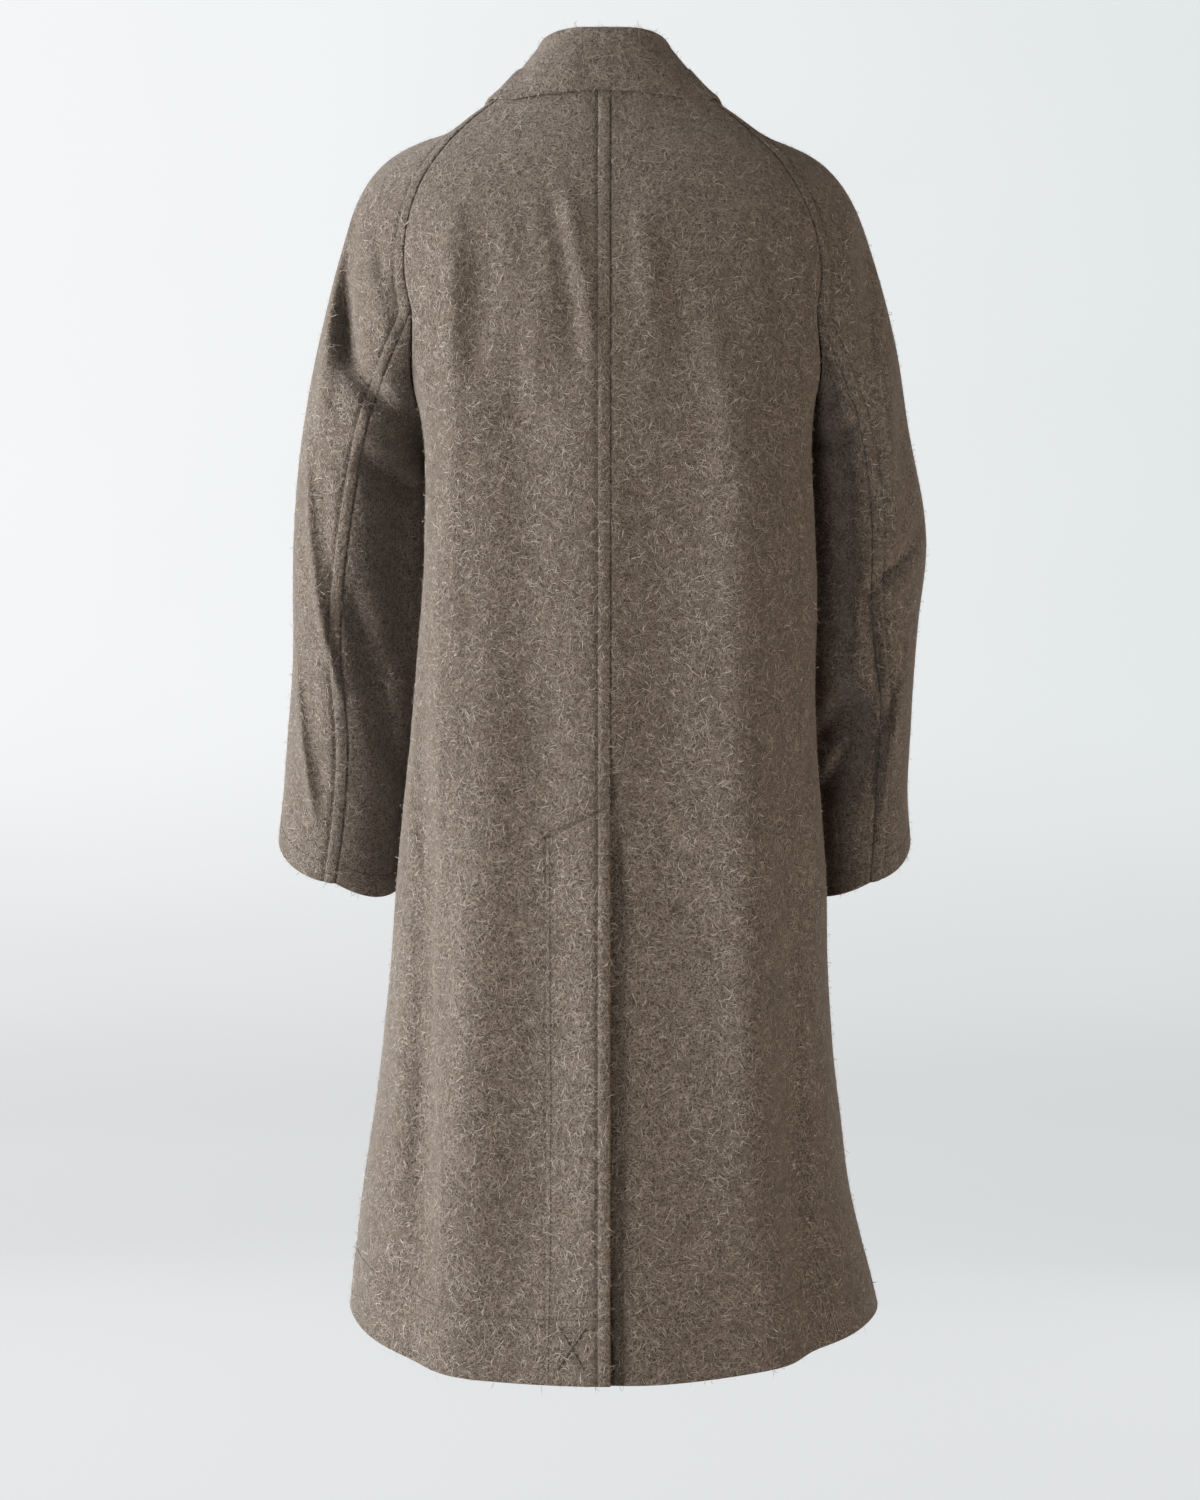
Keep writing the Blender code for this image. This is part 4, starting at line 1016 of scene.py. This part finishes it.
def welt_height(distance):
    """Height of a lapped seam: a soft roll from the folded edge to its row of stitches."""
    roll = np.sin(math.pi * np.clip(distance / WELT, 0.0, 1.0)) ** WELT_ROUNDNESS
    foot = smooth(WELT, WELT + WELT_FOOT, distance) * bump(distance - WELT - WELT_FOOT, WELT_FOOT_WIDTH)
    sunk = STITCH_SINK * bump(distance - WELT, STITCH_SINK_WIDTH)
    return WELT_PUFF * roll + WELT_FOOT_SHARE * WELT_PUFF * foot - sunk


def creased(group, grid, normals):
    """How far the creases of one group of pieces move each point of a grid along their view."""
    total = np.zeros(grid.shape[:2])
    for (view, pieces), creases in CREASES.items():
        if pieces != group:
            continue
        towards = 1.0 if view == "back" else -1.0
        seen = smooth(*CREASE_SEEN, towards * normals[..., 1])
        for row in creases:
            crease = Crease(*(value / 1000.0 for value in row))
            start = np.array([crease.across_from, crease.up_from])
            line = np.array([crease.across_to, crease.up_to]) - start
            length = np.linalg.norm(line)
            ahead = line / length
            offset = grid[..., [0, 2]] - start
            along = offset @ ahead / length
            aside = offset @ np.array([-ahead[1], ahead[0]])
            inside = np.clip(along, 0.0, 1.0)
            aside = aside - crease.bow * 4.0 * inside * (1.0 - inside)
            fade = smooth(*CREASE_STARTS, along) * (1.0 - smooth(*CREASE_ENDS, along))
            total += towards * crease.depth * fade * bump(aside, crease.width) * seen
    return total


def unevenness(grid):
    """Slow, slight waves of heavy cloth, the same on both sides of a seam."""
    heights = [noise.noise(Vector(point) * WAVE_RATE) for point in grid.reshape(-1, 3)]
    return WAVE_HEIGHT * np.array(heights).reshape(grid.shape[:2])


def facing_groove(grid, from_edge):
    """Where the vent's facing is stitched down: slanting from the vent's top, then straight to the hem."""
    slant = VENT_TOP_Z - VENT_SLANT * np.clip(from_edge / FACING_STITCH, 0.0, 1.0)
    above = grid[..., 2] - slant
    across = above * math.cos(math.atan2(VENT_SLANT, FACING_STITCH))
    until_corner = smooth(FACING_STITCH + FACING_START, FACING_STITCH, from_edge)
    top = SLANT_SINK * bump(across, SLANT_SINK_WIDTH) * until_corner
    below_corner = smooth(0.0, -FACING_FADE, above)
    straight = FACING_SINK * bump(from_edge - FACING_STITCH, FACING_SINK_WIDTH) * below_corner
    return np.maximum(top, straight)


def joined_normals(grids):
    """Normals of every piece, alike on both sides of the sleeve seams so that creases run across them."""
    made = {name: grid_normals(grid) for name, grid in grids.items()}
    for side in SIDES:
        top = made["top_sleeve_" + side][RAGLAN_ROWS:]
        under = made["under_sleeve_" + side]
        top_distance = edge_distances(grids["top_sleeve_" + side][RAGLAN_ROWS:])
        under_distance = edge_distances(grids["under_sleeve_" + side])
        for top_edge, top_column, under_edge, under_column in SLEEVE_SEAMS:
            common = unit(top[:, top_column] + under[:, under_column])[:, None]
            for own, distance, edge in ((top, top_distance, top_edge), (under, under_distance, under_edge)):
                share = bump(distance[edge], NORMAL_SHARED) * smooth(0.0, NORMAL_FADE, distance["top"])
                own += (common - own) * share[..., None]
    return {name: unit(normals) for name, normals in made.items()}


def stillness(name, grid, distance):
    """0 along the seams that hold the cloth flat, 1 where creases and waves are free to form."""
    free = np.ones(grid.shape[:2])
    reach = UNDER_SLEEVE_REACH if name.startswith("under_sleeve") else HELD_REACH
    for edge in PIECES[name].held:
        free = free * smooth(0.0, reach, distance[edge])
    if name.startswith("top_sleeve"):
        below_seam = distance["top"] - distance["top"][RAGLAN_ROWS]
        free = np.maximum(free, smooth(0.0, TUBE_REACH, below_seam))
    return free


def shaped(name, grid, normals, thickness):
    """Outer and inner points of one cloth piece."""
    kind = PIECES[name]
    distance = edge_distances(grid)
    free = stillness(name, grid, distance)
    both = unevenness(grid) * free
    grid = grid + (creased(kind.group, grid, normals) * free)[..., None] * np.array([0.0, 1.0, 0.0])
    if name == "back_left":
        below = smooth(VENT_TOP_Z, VENT_TOP_Z - VENT_LIFT_FADE, grid[..., 2])
        both = both + VENT_LIFT * below * bump(distance["start"], VENT_LIFT_WIDTH)
        both = both - facing_groove(grid, distance["start"])
    if name == "back_right":
        below = smooth(VENT_TOP_Z, VENT_TOP_Z - VENT_HOLLOW_FADE, grid[..., 2])
        from_edge = grid[..., 0] - CENTRE_BACK_X + 0.5 * VENT_HOLLOW_WIDTH
        both = both - VENT_HOLLOW * below * bump(from_edge, VENT_HOLLOW_WIDTH)
    outside = np.zeros(grid.shape[:2])
    turned = np.zeros(grid.shape[:2])
    for edge in kind.welt:
        outside = outside + welt_height(distance[edge])
    for edge in kind.under:
        outside = outside - SEAM_DIP * bump(distance[edge], SEAM_DIP_WIDTH)
    for edge in kind.free:
        turned = np.maximum(turned, rounding(distance[edge], thickness))
    for edge, depth in kind.stitched:
        outside = outside - HEM_SINK_SHARE * STITCH_SINK * bump(distance[edge] - depth, HEM_SINK_WIDTH)
    outer = grid + normals * (both + outside - turned)[..., None]
    inner = grid + normals * (both - thickness + turned)[..., None]
    return outer, inner


# Turning points into pieces

def mesh_object(name, points, faces, material):
    """A smooth object of one material."""
    mesh = bpy.data.meshes.new(name)
    mesh.from_pydata(points.reshape(-1, 3).tolist(), [], faces.reshape(-1, 4).tolist())
    mesh.materials.append(material)
    mesh.polygons.foreach_set("use_smooth", np.full(len(mesh.polygons), True))
    mesh.update()
    made = bpy.data.objects.new(name, mesh)
    bpy.context.scene.collection.objects.link(made)
    return made


def add_piece(name, points, faces, uv, material):
    """A piece with its texture map that rides on the part's only body."""
    piece = mesh_object(name, points, faces, material)
    layer = piece.data.uv_layers.new(name="OFBake")
    layer.data.foreach_set("uv", np.asarray(uv, np.float32).reshape(-1))
    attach(piece, "root")
    return piece


def round_faces(index):
    """Corner numbers of the faces between closed rings of points, turned outwards."""
    after = np.roll(index, -1, axis=-1)
    return np.stack([index[..., :-1, :], after[..., :-1, :], after[..., 1:, :], index[..., 1:, :]], axis=-1)


def cloth_piece(name, outer, inner, material):
    """A closed shell of cloth from its two faces, with the faces and the rim apart in its texture map."""
    count_rows, count_columns = outer.shape[:2]
    size = count_rows * count_columns
    face = quads(count_rows, count_columns)
    index = np.arange(size).reshape(count_rows, count_columns)
    rim = np.concatenate([index[0, :-1], index[:-1, -1], index[-1, :0:-1], index[:0:-1, 0]])
    after = np.roll(rim, -1)
    edge = np.stack([after, rim, rim + size, after + size], axis=-1)
    faces = np.concatenate([face, face[:, ::-1] + size, edge])
    down, across = np.meshgrid(np.linspace(*MAP_DOWN, count_rows), np.linspace(*MAP_ACROSS, count_columns),
                               indexing="ij")
    front = np.stack([across, down], axis=-1).reshape(-1, 2)
    back = front + np.array(MAP_INSIDE)
    here = np.linspace(*MAP_RIM_ACROSS, len(rim) + 1)
    low, high = (np.full(len(rim), level) for level in MAP_RIM_DOWN)
    band = np.stack([np.stack([here[1:], high], -1), np.stack([here[:-1], high], -1),
                     np.stack([here[:-1], low], -1), np.stack([here[1:], low], -1)], axis=1)
    uv = np.concatenate([front[face].reshape(-1, 2), back[face[:, ::-1]].reshape(-1, 2), band.reshape(-1, 2)])
    points = np.concatenate([outer.reshape(-1, 3), inner.reshape(-1, 3)])
    return add_piece("cloth_" + name, points, faces, uv, material)


def cells(count):
    """Lower corners and size of square cells that share out a texture map."""
    side = math.ceil(math.sqrt(count))
    number = np.arange(count)
    return np.stack([number % side, number // side], axis=-1) / side, 1.0 / side


def many_strips(points, widths, sides):
    """Faces, points and texture places for many ribbons, each through a few points, widened to its sides."""
    count, steps = points.shape[:2]
    edges = np.stack([points - sides * widths, points + sides * widths], axis=2)
    index = np.arange(count * steps * 2).reshape(count, steps, 2)
    face = np.stack([index[:, :-1, 0], index[:, :-1, 1], index[:, 1:, 1], index[:, 1:, 0]], axis=-1)
    corner, size = cells(count)
    place = np.zeros((count, steps, 2, 2))
    place[..., 0] = np.linspace(*MAP_HAIR_ALONG, steps)[None, :, None]
    place[..., 1] = np.array(MAP_HAIR_ACROSS)[None, None, :]
    place = corner[:, None, None, :] + place * size
    uv = place.reshape(-1, 2)[face.reshape(-1)]
    return edges, face, uv


def nap(kind, name, outer, normals, sewn_places, material):
    """Hairs of one kind on the felted surface, most of them lying down and a few standing out."""
    across = outer[:-1, 1:] - outer[:-1, :-1]
    down = outer[1:, :-1] - outer[:-1, :-1]
    area = np.linalg.norm(np.cross(across, down), axis=-1)
    count = int(area.sum() * kind.density)
    chosen = chance.choice(area.size, count, p=(area / area.sum()).reshape(-1))
    row, col = np.divmod(chosen, area.shape[1])
    s = chance.random(count)[:, None]
    t = chance.random(count)[:, None]

    def between(values):
        upper = values[row, col] * (1 - s) + values[row, col + 1] * s
        lower = values[row + 1, col] * (1 - s) + values[row + 1, col + 1] * s
        return upper * (1 - t) + lower * t

    root = between(outer)
    normal = unit(between(normals))
    clear = np.array([sewn_places.find(point)[2] > NAP_OFF_STITCHES for point in root])
    width = np.where(clear, 1.0, NAP_THINNED) * chance.uniform(*kind.width, count)
    first = unit(across[row, col] - normal * np.sum(across[row, col] * normal, axis=-1, keepdims=True))
    second = np.cross(normal, first)
    length = kind.length[0] + (kind.length[1] - kind.length[0]) * chance.random(count) ** NAP_LENGTH_BIAS
    heading = chance.uniform(0.0, 2.0 * math.pi, count)
    curl = chance.normal(0.0, NAP_CURL, count)
    stands = chance.random(count) < kind.standing
    lift = np.where(stands, chance.uniform(*NAP_STANDING, count), chance.uniform(*NAP_LYING, count))
    share = np.linspace(0.0, 1.0, kind.points)
    points = [root + normal * NAP_ROOT]
    sides = []
    for step in range(kind.points):
        angle = heading + curl * share[step]
        ahead = first * np.cos(angle)[:, None] + second * np.sin(angle)[:, None]
        sides.append(np.cross(normal, ahead))
        if step < kind.points - 1:
            rise = lift * (np.sin(NAP_ARC * share[step + 1]) - np.sin(NAP_ARC * share[step]))
            stride = (length / (kind.points - 1))[:, None]
            points.append(points[-1] + ahead * stride + normal * rise[:, None])
    width = width[:, None, None]
    taper = np.interp(share, NAP_TAPER_AT, NAP_TAPER)[None, :, None]
    points, faces, uv = many_strips(np.stack(points, axis=1), 0.5 * width * taper, np.stack(sides, axis=1))
    return add_piece(kind.name + "_" + name, points, faces, uv, material)


# Sewing

def path_at(outer, normals, distance, depth):
    """Points and normals along a grid at one distance from its lower edge."""
    return [np.array([read_at(values[::-1, j], distance[::-1, j], depth) for j in range(values.shape[1])])
            for values in (outer, normals)]


def stitch_run(points, normals, pitch, length):
    """Starts, ends and normals of the stitches along a path."""
    steps = np.linalg.norm(np.diff(points, axis=0), axis=1)
    at = np.concatenate([[0.0], np.cumsum(steps)])
    count = max(1, int(at[-1] / pitch))
    stray = chance.normal(0.0, STITCH_STRAY, count)
    begin = np.arange(count) * pitch + 0.5 * (at[-1] - count * pitch) + stray
    up = unit(read_at(normals, at, begin + 0.5 * length))
    return np.concatenate([read_at(points, at, begin), read_at(points, at, begin + length), up], axis=1)


def threads(name, runs, radius, material):
    """Short rounded threads, each from its start to its end and slightly arched over the cloth."""
    runs = np.concatenate(runs)
    start, end, normal = runs[:, :3], runs[:, 3:6], runs[:, 6:]
    side = np.cross(normal, unit(end - start))
    around = np.array(THREAD_CORNERS) * math.pi
    rings = []
    for share, size in zip(THREAD_AT, THREAD_SIZE):
        rise = THREAD_ARCH * math.sin(math.pi * share) - THREAD_SUNK
        centre = start + (end - start) * share + normal * radius * rise
        ring_points = [centre + radius * size * (side * math.cos(a) + normal * math.sin(a)) for a in around]
        rings.append(np.stack(ring_points, axis=1))
    points = np.stack(rings, axis=1)
    count = len(runs)
    index = np.arange(points.size // 3).reshape(points.shape[:-1])
    caps = np.stack([index[:, 0, ::-1], index[:, -1]], axis=1)
    faces = np.concatenate([round_faces(index).reshape(count, -1, 4), caps], axis=1)
    corners = ((0, 0), (0, 1), (1, 1), (1, 0))
    place = [[(THREAD_AT[ring_number + ahead], (corner + beside) / 4) for ahead, beside in corners]
             for ring_number in range(3) for corner in range(4)]
    place += 2 * [MAP_THREAD_END]
    cell, size = cells(count)
    within = MAP_THREAD_MARGIN + (1.0 - 2.0 * MAP_THREAD_MARGIN) * np.array(place)
    return add_piece(name, points, faces, cell[:, None, None, :] + within[None] * size, material)


def facing_lines(outer, normals):
    """Points and normals along the vent's slanting stitches, and along those down to the hem."""
    from_edge = edge_distances(outer)["start"]
    at = np.linspace(FACING_START, FACING_STITCH, FACING_POINTS)
    points, directions = [np.array([read_at(row, keys, at) for row, keys in zip(values, from_edge)])
                          for values in (outer, normals)]
    below = points[:, -1, 2] < VENT_TOP_Z - VENT_SLANT
    slant_z = VENT_TOP_Z - VENT_SLANT * at / FACING_STITCH
    slanting = [np.array([read_at(values[::-1, j], points[::-1, j, 2], z) for j, z in enumerate(slant_z)])
                for values in (points, directions)]
    return slanting, (points[below, -1], directions[below, -1])


def drawn_on(surface, corners, step, towards):
    """A line drawn in a view along Y and laid on the cloth: its points and normals."""
    corners = np.array(corners)
    lengths = np.concatenate([[0.0], np.cumsum(np.linalg.norm(np.diff(corners, axis=0), axis=1))])
    at = np.arange(0.0, lengths[-1], step)
    points = []
    normals = []
    for x, z in zip(np.interp(at, lengths, corners[:, 0]), np.interp(at, lengths, corners[:, 1])):
        place, normal = surface.ray_cast(Vector((x, -towards, z)), Vector((0.0, towards, 0.0)))[:2]
        if place is not None:
            points.append(place)
            normals.append(normal)
    return np.array(points), np.array(normals)


# Buttons

def button(name, place, normal, horn, thread):
    """A turned horn button with a rounded rim, a dished face and four holes, and the thread through them."""
    dish = np.linspace(BUTTON_DISH, 0.0, BUTTON_DISH_RINGS)
    dish_level = BUTTON_DISH_LEVEL + BUTTON_DISH_RISE * (dish / BUTTON_DISH) ** 3
    reach = np.concatenate([[row.reach for row in BUTTON_RIM], dish]) * BUTTON_RADIUS
    level = np.concatenate([[row.level for row in BUTTON_RIM], dish_level]) * BUTTON_HEIGHT
    turn = np.linspace(0.0, 2.0 * math.pi, BUTTON_STEPS, endpoint=False)
    x = reach[:, None] * np.cos(turn)
    y = reach[:, None] * np.sin(turn)
    z = np.repeat(level[:, None], BUTTON_STEPS, axis=1)
    on_face = (np.arange(len(reach)) >= len(BUTTON_RIM))[:, None]
    for side in (-1, 1):
        for end in (-1, 1):
            away = np.hypot(x - side * BUTTON_HOLE_AT, y - end * BUTTON_HOLE_AT)
            edge = [BUTTON_HOLE * share for share in BUTTON_HOLE_EDGE]
            z = z - on_face * BUTTON_HOLE_DEPTH * smooth(*edge, away)
    second = unit(np.cross(normal, np.array([1.0, 0.0, 0.0])))
    first = np.cross(second, normal)
    seat = place + normal * BUTTON_CLEARANCE
    points = seat + x[..., None] * first + y[..., None] * second + z[..., None] * normal
    faces = round_faces(np.arange(x.size).reshape(x.shape))
    share = np.linspace(0.0, 1.0, len(reach))
    spin = np.linspace(0.0, 1.0, BUTTON_STEPS + 1)
    corner = [(share[:-1], spin[:-1]), (share[:-1], spin[1:]), (share[1:], spin[1:]), (share[1:], spin[:-1])]
    uv = np.stack([np.stack(np.meshgrid(a, b, indexing="ij"), axis=-1) for a, b in corner], axis=2)
    uv = MAP_BUTTON_MARGIN + (1.0 - 2.0 * MAP_BUTTON_MARGIN) * uv
    piece = add_piece("horn_" + name, points, faces, uv, horn)
    runs = []
    for side in (-1, 1):
        for strand in (-1, 0, 1):
            across = side * BUTTON_HOLE_AT + strand * BUTTON_THREAD_PITCH * THREAD
            level_here = seat + normal * (BUTTON_THREAD_LEVEL * BUTTON_HEIGHT) + first * across
            start = level_here - second * BUTTON_HOLE_AT
            end = level_here + second * BUTTON_HOLE_AT
            runs.append(np.concatenate([start, end, normal])[None])
    sewn = threads("thread_" + name, runs, THREAD, thread)
    return piece, sewn


# Materials

def connect(tree, made, inputs):
    """Sets inputs of a node, each to a constant or to another node's output."""
    for name, value in inputs.items():
        if isinstance(value, bpy.types.NodeSocket):
            tree.links.new(value, made.inputs[name])
        else:
            made.inputs[name].default_value = value


def node(tree, kind, inputs, **settings):
    """The outputs of a new node."""
    made = tree.nodes.new("ShaderNode" + kind)
    for name, value in settings.items():
        setattr(made, name, value)
    connect(tree, made, inputs)
    return made.outputs


def noise_of(tree, vector, rate, detail):
    return node(tree, "TexNoise", {"Vector": vector, "Scale": rate, "Detail": detail})


def maths(tree, operation, first, second=0.0):
    return node(tree, "Math", {0: first, 1: second}, operation=operation)[0]


def ranged(tree, value, low, high, at_low, at_high):
    """A value eased from one range to another."""
    inputs = {"Value": value, "From Min": low, "From Max": high, "To Min": at_low, "To Max": at_high}
    return node(tree, "MapRange", inputs, interpolation_type="SMOOTHSTEP")["Result"]


def patterned(tree, vector, pattern):
    """Noise in one pattern, as it comes and eased."""
    plain = noise_of(tree, vector, pattern.rate, pattern.detail)[0]
    return plain, ranged(tree, plain, pattern.low, pattern.high, pattern.at_low, pattern.at_high)


def mixed(tree, share, first, second):
    return node(tree, "Mix", {"Factor": share, 6: first, 7: second}, data_type="RGBA")[2]


def embossed(tree, height, distance, strength):
    return node(tree, "Bump", {"Strength": strength, "Distance": distance, "Height": height})["Normal"]


def started(name):
    """A new material, its tree, its shader and the object's own coordinates."""
    material = bpy.data.materials.new(name)
    material.use_nodes = True
    tree = material.node_tree
    return material, tree, tree.nodes["Principled BSDF"], node(tree, "TexCoord", {})["Object"]


def wool_material():
    """Felted mixed wool: pale curled strands over a darker mottled ground."""
    material, tree, shader, place = started("felted wool")
    curl = noise_of(tree, place, CURL_RATE, 1.0)[1]
    curled = node(tree, "VectorMath", {0: curl, 1: CURL_REACH, 2: place}, operation="MULTIPLY_ADD")[0]
    cover = None
    for strand in STRANDS:
        moved = node(tree, "VectorMath", {0: curled, 1: strand.offset}, operation="ADD")[0]
        value = noise_of(tree, moved, strand.rate, 1.0)[0]
        away = maths(tree, "ABSOLUTE", maths(tree, "SUBTRACT", value, 0.5))
        band = ranged(tree, away, 0.0, strand.width, 1.0, 0.0)
        layer = maths(tree, "MULTIPLY", band, patterned(tree, moved, strand.patches)[1])
        cover = layer if cover is None else maths(tree, "MAXIMUM", cover, layer)
    mottle = patterned(tree, place, MOTTLE)[1]
    grain, specks = patterned(tree, place, GRAIN)
    ground = mixed(tree, maths(tree, "MULTIPLY", mottle, MOTTLE_COVER), WOOL_DARK, WOOL_GROUND)
    ground = mixed(tree, specks, ground, WOOL_SPECK)
    colour = mixed(tree, maths(tree, "MULTIPLY", cover, STRAND_COVER), ground, WOOL_STRAND)
    height = maths(tree, "ADD", cover, maths(tree, "MULTIPLY", grain, GRAIN_HEIGHT))
    connect(tree, shader, {
        "Base Color": mixed(tree, patterned(tree, place, SLOW_SHADE)[1], colour, WOOL_GROUND),
        "Roughness": 0.95,
        "Specular IOR Level": 0.12,
        "Sheen Weight": 0.45,
        "Sheen Roughness": 0.5,
        "Sheen Tint": WOOL_SHEEN,
        "Normal": embossed(tree, height, distance=0.0009, strength=0.75),
    })
    return material


def nap_material():
    """Single hairs, from warm grey to pale."""
    material, tree, shader, _ = started("loose hairs")
    own = node(tree, "UVMap", {}, uv_map="OFBake")["UV"]
    colour = mixed(tree, patterned(tree, own, HAIR_TONES)[1], HAIR_DARK, HAIR_PALE)
    connect(tree, shader, {"Base Color": colour, "Roughness": 0.8, "Specular IOR Level": 0.25})
    return material


def thread_material():
    material, tree, shader, place = started("dark sewing thread")
    colour = mixed(tree, patterned(tree, place, THREAD_TONES)[1], THREAD_DARK, THREAD_LIGHT)
    connect(tree, shader, {"Base Color": colour, "Roughness": 0.7})
    return material


def horn_material():
    """Dark streaked horn with a soft polish."""
    material, tree, shader, place = started("streaked horn")
    streaked = node(tree, "Mapping", {"Vector": place, "Scale": HORN_STRETCH})[0]
    grown, tone = patterned(tree, streaked, HORN_TONES)
    relief = embossed(tree, grown, distance=0.0003, strength=0.25)
    colour = mixed(tree, tone, HORN_DARK, HORN_LIGHT)
    connect(tree, shader, {"Base Color": colour, "Roughness": 0.32, "Normal": relief})
    return material


def stage_material():
    """A pale studio whose tone is painted light: it glows, a little lighter towards the lamps and dimmer on
    the floor, over mottled pale paint that turns dark on the floor.
    """
    material, tree, shader, place = started("pale studio with painted glow")
    parts = node(tree, "SeparateXYZ", {0: place})
    paint = mixed(tree, patterned(tree, place, PAINT_TONES)[1], PAINT_DARK, PAINT_LIGHT)
    # Painted light: the glow is lighter towards the lamps, at +X, and darker away from them
    wall = mixed(tree, ranged(tree, parts["X"], *GLOW_SPAN_X, 0.0, 1.0), PAINTED_GLOW_FAR, PAINTED_GLOW_NEAR)
    on_floor = ranged(tree, parts["Z"], *PAINT_FLOOR_Z, 1.0, 0.0)
    at_floor = ranged(tree, parts["Z"], *GLOW_FLOOR_Z, GLOW_FLOOR, 0.0)
    connect(tree, shader, {
        "Base Color": mixed(tree, on_floor, paint, PAINT_FLOOR),
        "Roughness": 0.9,
        # Painted light: the studio glows, and its dark floor paint leaves the floor's tone to this glow
        "Emission Color": mixed(tree, at_floor, wall, PAINTED_GLOW_FLOOR),
        "Emission Strength": 1.0,
    })
    return material


# Building the coat

wool = wool_material()
hair = nap_material()
thread = thread_material()
horn = horn_material()

grids = {}
for side in SIDES:
    grids["back_" + side] = back_panel(side)
    grids["front_" + side] = front_panel(side)
    grids["top_sleeve_" + side] = top_sleeve(side)
    grids["under_sleeve_" + side] = under_sleeve(side)
grids["collar"] = collar(surface_of(grids.values()))
for side in SIDES:
    grids["lapel_" + side] = lapel(side)

faces = {}
directions = joined_normals(grids)
for name, grid in grids.items():
    thickness = COLLAR_CLOTH if name == "collar" else LAPEL_CLOTH if name.startswith("lapel") else CLOTH
    outer, inner = shaped(name, grid, directions[name], thickness)
    faces[name] = (outer, grid_normals(outer))
    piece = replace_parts(cloth_piece(name, outer, inner, wool), name)

# Stitches along the lapped seams, the hem, the cuffs and the vent
runs = []
for name, kind in PIECES.items():
    outer, normals = faces[name]
    for edge in kind.welt:
        at = WELT_COLUMN if edge == "start" else -1 - WELT_COLUMN
        runs.append(stitch_run(outer[:, at], normals[:, at], STITCH_PITCH, STITCH_LENGTH))
    for edge, depth in kind.stitched:
        line, up = path_at(outer, normals, edge_distances(outer)[edge], depth)
        runs.append(stitch_run(line, up, STITCH_PITCH, STITCH_LENGTH))
back = surface_of([faces["back_left"][0]])
for line, up in facing_lines(*faces["back_left"]):
    runs.append(stitch_run(line, up, STITCH_PITCH, STITCH_LENGTH))
threads("seam_stitches", runs, THREAD, thread)
tack = []
for stroke in TACK_STROKES:
    line, up = drawn_on(back, stroke, TACK_STEP, -1.0)
    tack.append(stitch_run(line, up, TACK_PITCH, TACK_LENGTH))
threads("vent_tack", tack, TACK_THREAD, thread)

# Nap
sewn_places = KDTree(sum(len(run) for run in runs + tack))
for number, run in enumerate(np.concatenate(runs + tack)):
    sewn_places.insert((run[:3] + run[3:6]) / 2.0, number)
sewn_places.balance()
for name, (outer, normals) in faces.items():
    hairs = [nap(kind, name, outer, normals, sewn_places, hair) for kind in NAPS]

# Buttons and buttonholes
front = surface_of([faces["front_left"][0]])
runs = []
for side, sign in (("left", 1.0), ("right", -1.0)):
    for number, z in enumerate(BUTTON_ROWS_Z, start=1):
        over = torso(float(angle_at(sign * BUTTON_COLUMN_X, z, False)), z)
        place, normal = front.find_nearest(Vector(over))[:2]
        name = f"button_{side}_{number}"
        turned, sewn = button(name, np.array(place), np.array(normal), horn, thread)
        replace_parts(turned, name)
for z in BUTTON_ROWS_Z:
    for lip in (-BUTTONHOLE_LIP, BUTTONHOLE_LIP):
        ends = [(x, z + lip) for x in BUTTONHOLE]
        line, up = drawn_on(front, ends, BUTTONHOLE_STEP, 1.0)
        runs.append(stitch_run(line, up, BUTTONHOLE_PITCH, BUTTONHOLE_STITCH))
threads("buttonhole_stitches", runs, THREAD, thread)


# Studio, light and camera

def bowl():
    """A pale floor that curves up into a round wall, open at the top."""
    turn = np.linspace(0.0, 0.5 * math.pi, STUDIO_CURVE_STEPS)
    floor = [STUDIO_CENTRE, 0.5 * STUDIO_FLAT]
    bend = STUDIO_FLAT + STUDIO_CURVE * np.sin(turn)
    rise = STUDIO_CURVE * (1.0 - np.cos(turn))
    reach = np.concatenate([floor, bend, [STUDIO_FLAT + STUDIO_CURVE]])
    level = np.concatenate([[0.0, 0.0], rise, [STUDIO_HEIGHT]]) + STUDIO_FLOOR_Z
    around = np.linspace(0.0, 2.0 * math.pi, STUDIO_STEPS, endpoint=False)
    points = np.stack([reach[:, None] * np.cos(around), reach[:, None] * np.sin(around),
                       np.repeat(level[:, None], STUDIO_STEPS, axis=1)], axis=-1)
    outwards = round_faces(np.arange(len(reach) * STUDIO_STEPS).reshape(len(reach), STUDIO_STEPS))
    made = mesh_object("studio_bowl", points, outwards[..., [0, 3, 2, 1]], stage_material())
    made.visible_diffuse = False
    return made


scene = bpy.context.scene
bowl()
for light in LIGHTS:
    lamp = bpy.data.lights.new(light.name, "AREA")
    lamp.shape = "RECTANGLE"
    lamp.size, lamp.size_y = light.size
    lamp.energy = light.watts
    lamp.color = light.colour
    hung = bpy.data.objects.new(light.name, lamp)
    hung.location = light.place
    hung.rotation_euler = (Vector(light.aim) - Vector(light.place)).to_track_quat("-Z", "Y").to_euler()
    scene.collection.objects.link(hung)
scene.world = bpy.data.worlds.new("studio")
scene.world.use_nodes = True
sky = scene.world.node_tree
connect(sky, sky.nodes["Background"], {"Color": WORLD_COLOUR, "Strength": WORLD_STRENGTH})
scene.view_settings.view_transform = "Standard"

camera_data = bpy.data.cameras.new("photo_camera")
camera_data.lens = CAMERA_LENS
camera_data.sensor_width = CAMERA_SENSOR
camera = bpy.data.objects.new("photo_camera", camera_data)
camera.location = CAMERA_PLACE
camera.rotation_euler = [math.radians(turn) for turn in CAMERA_TURN]
scene.collection.objects.link(camera)
scene.camera = camera
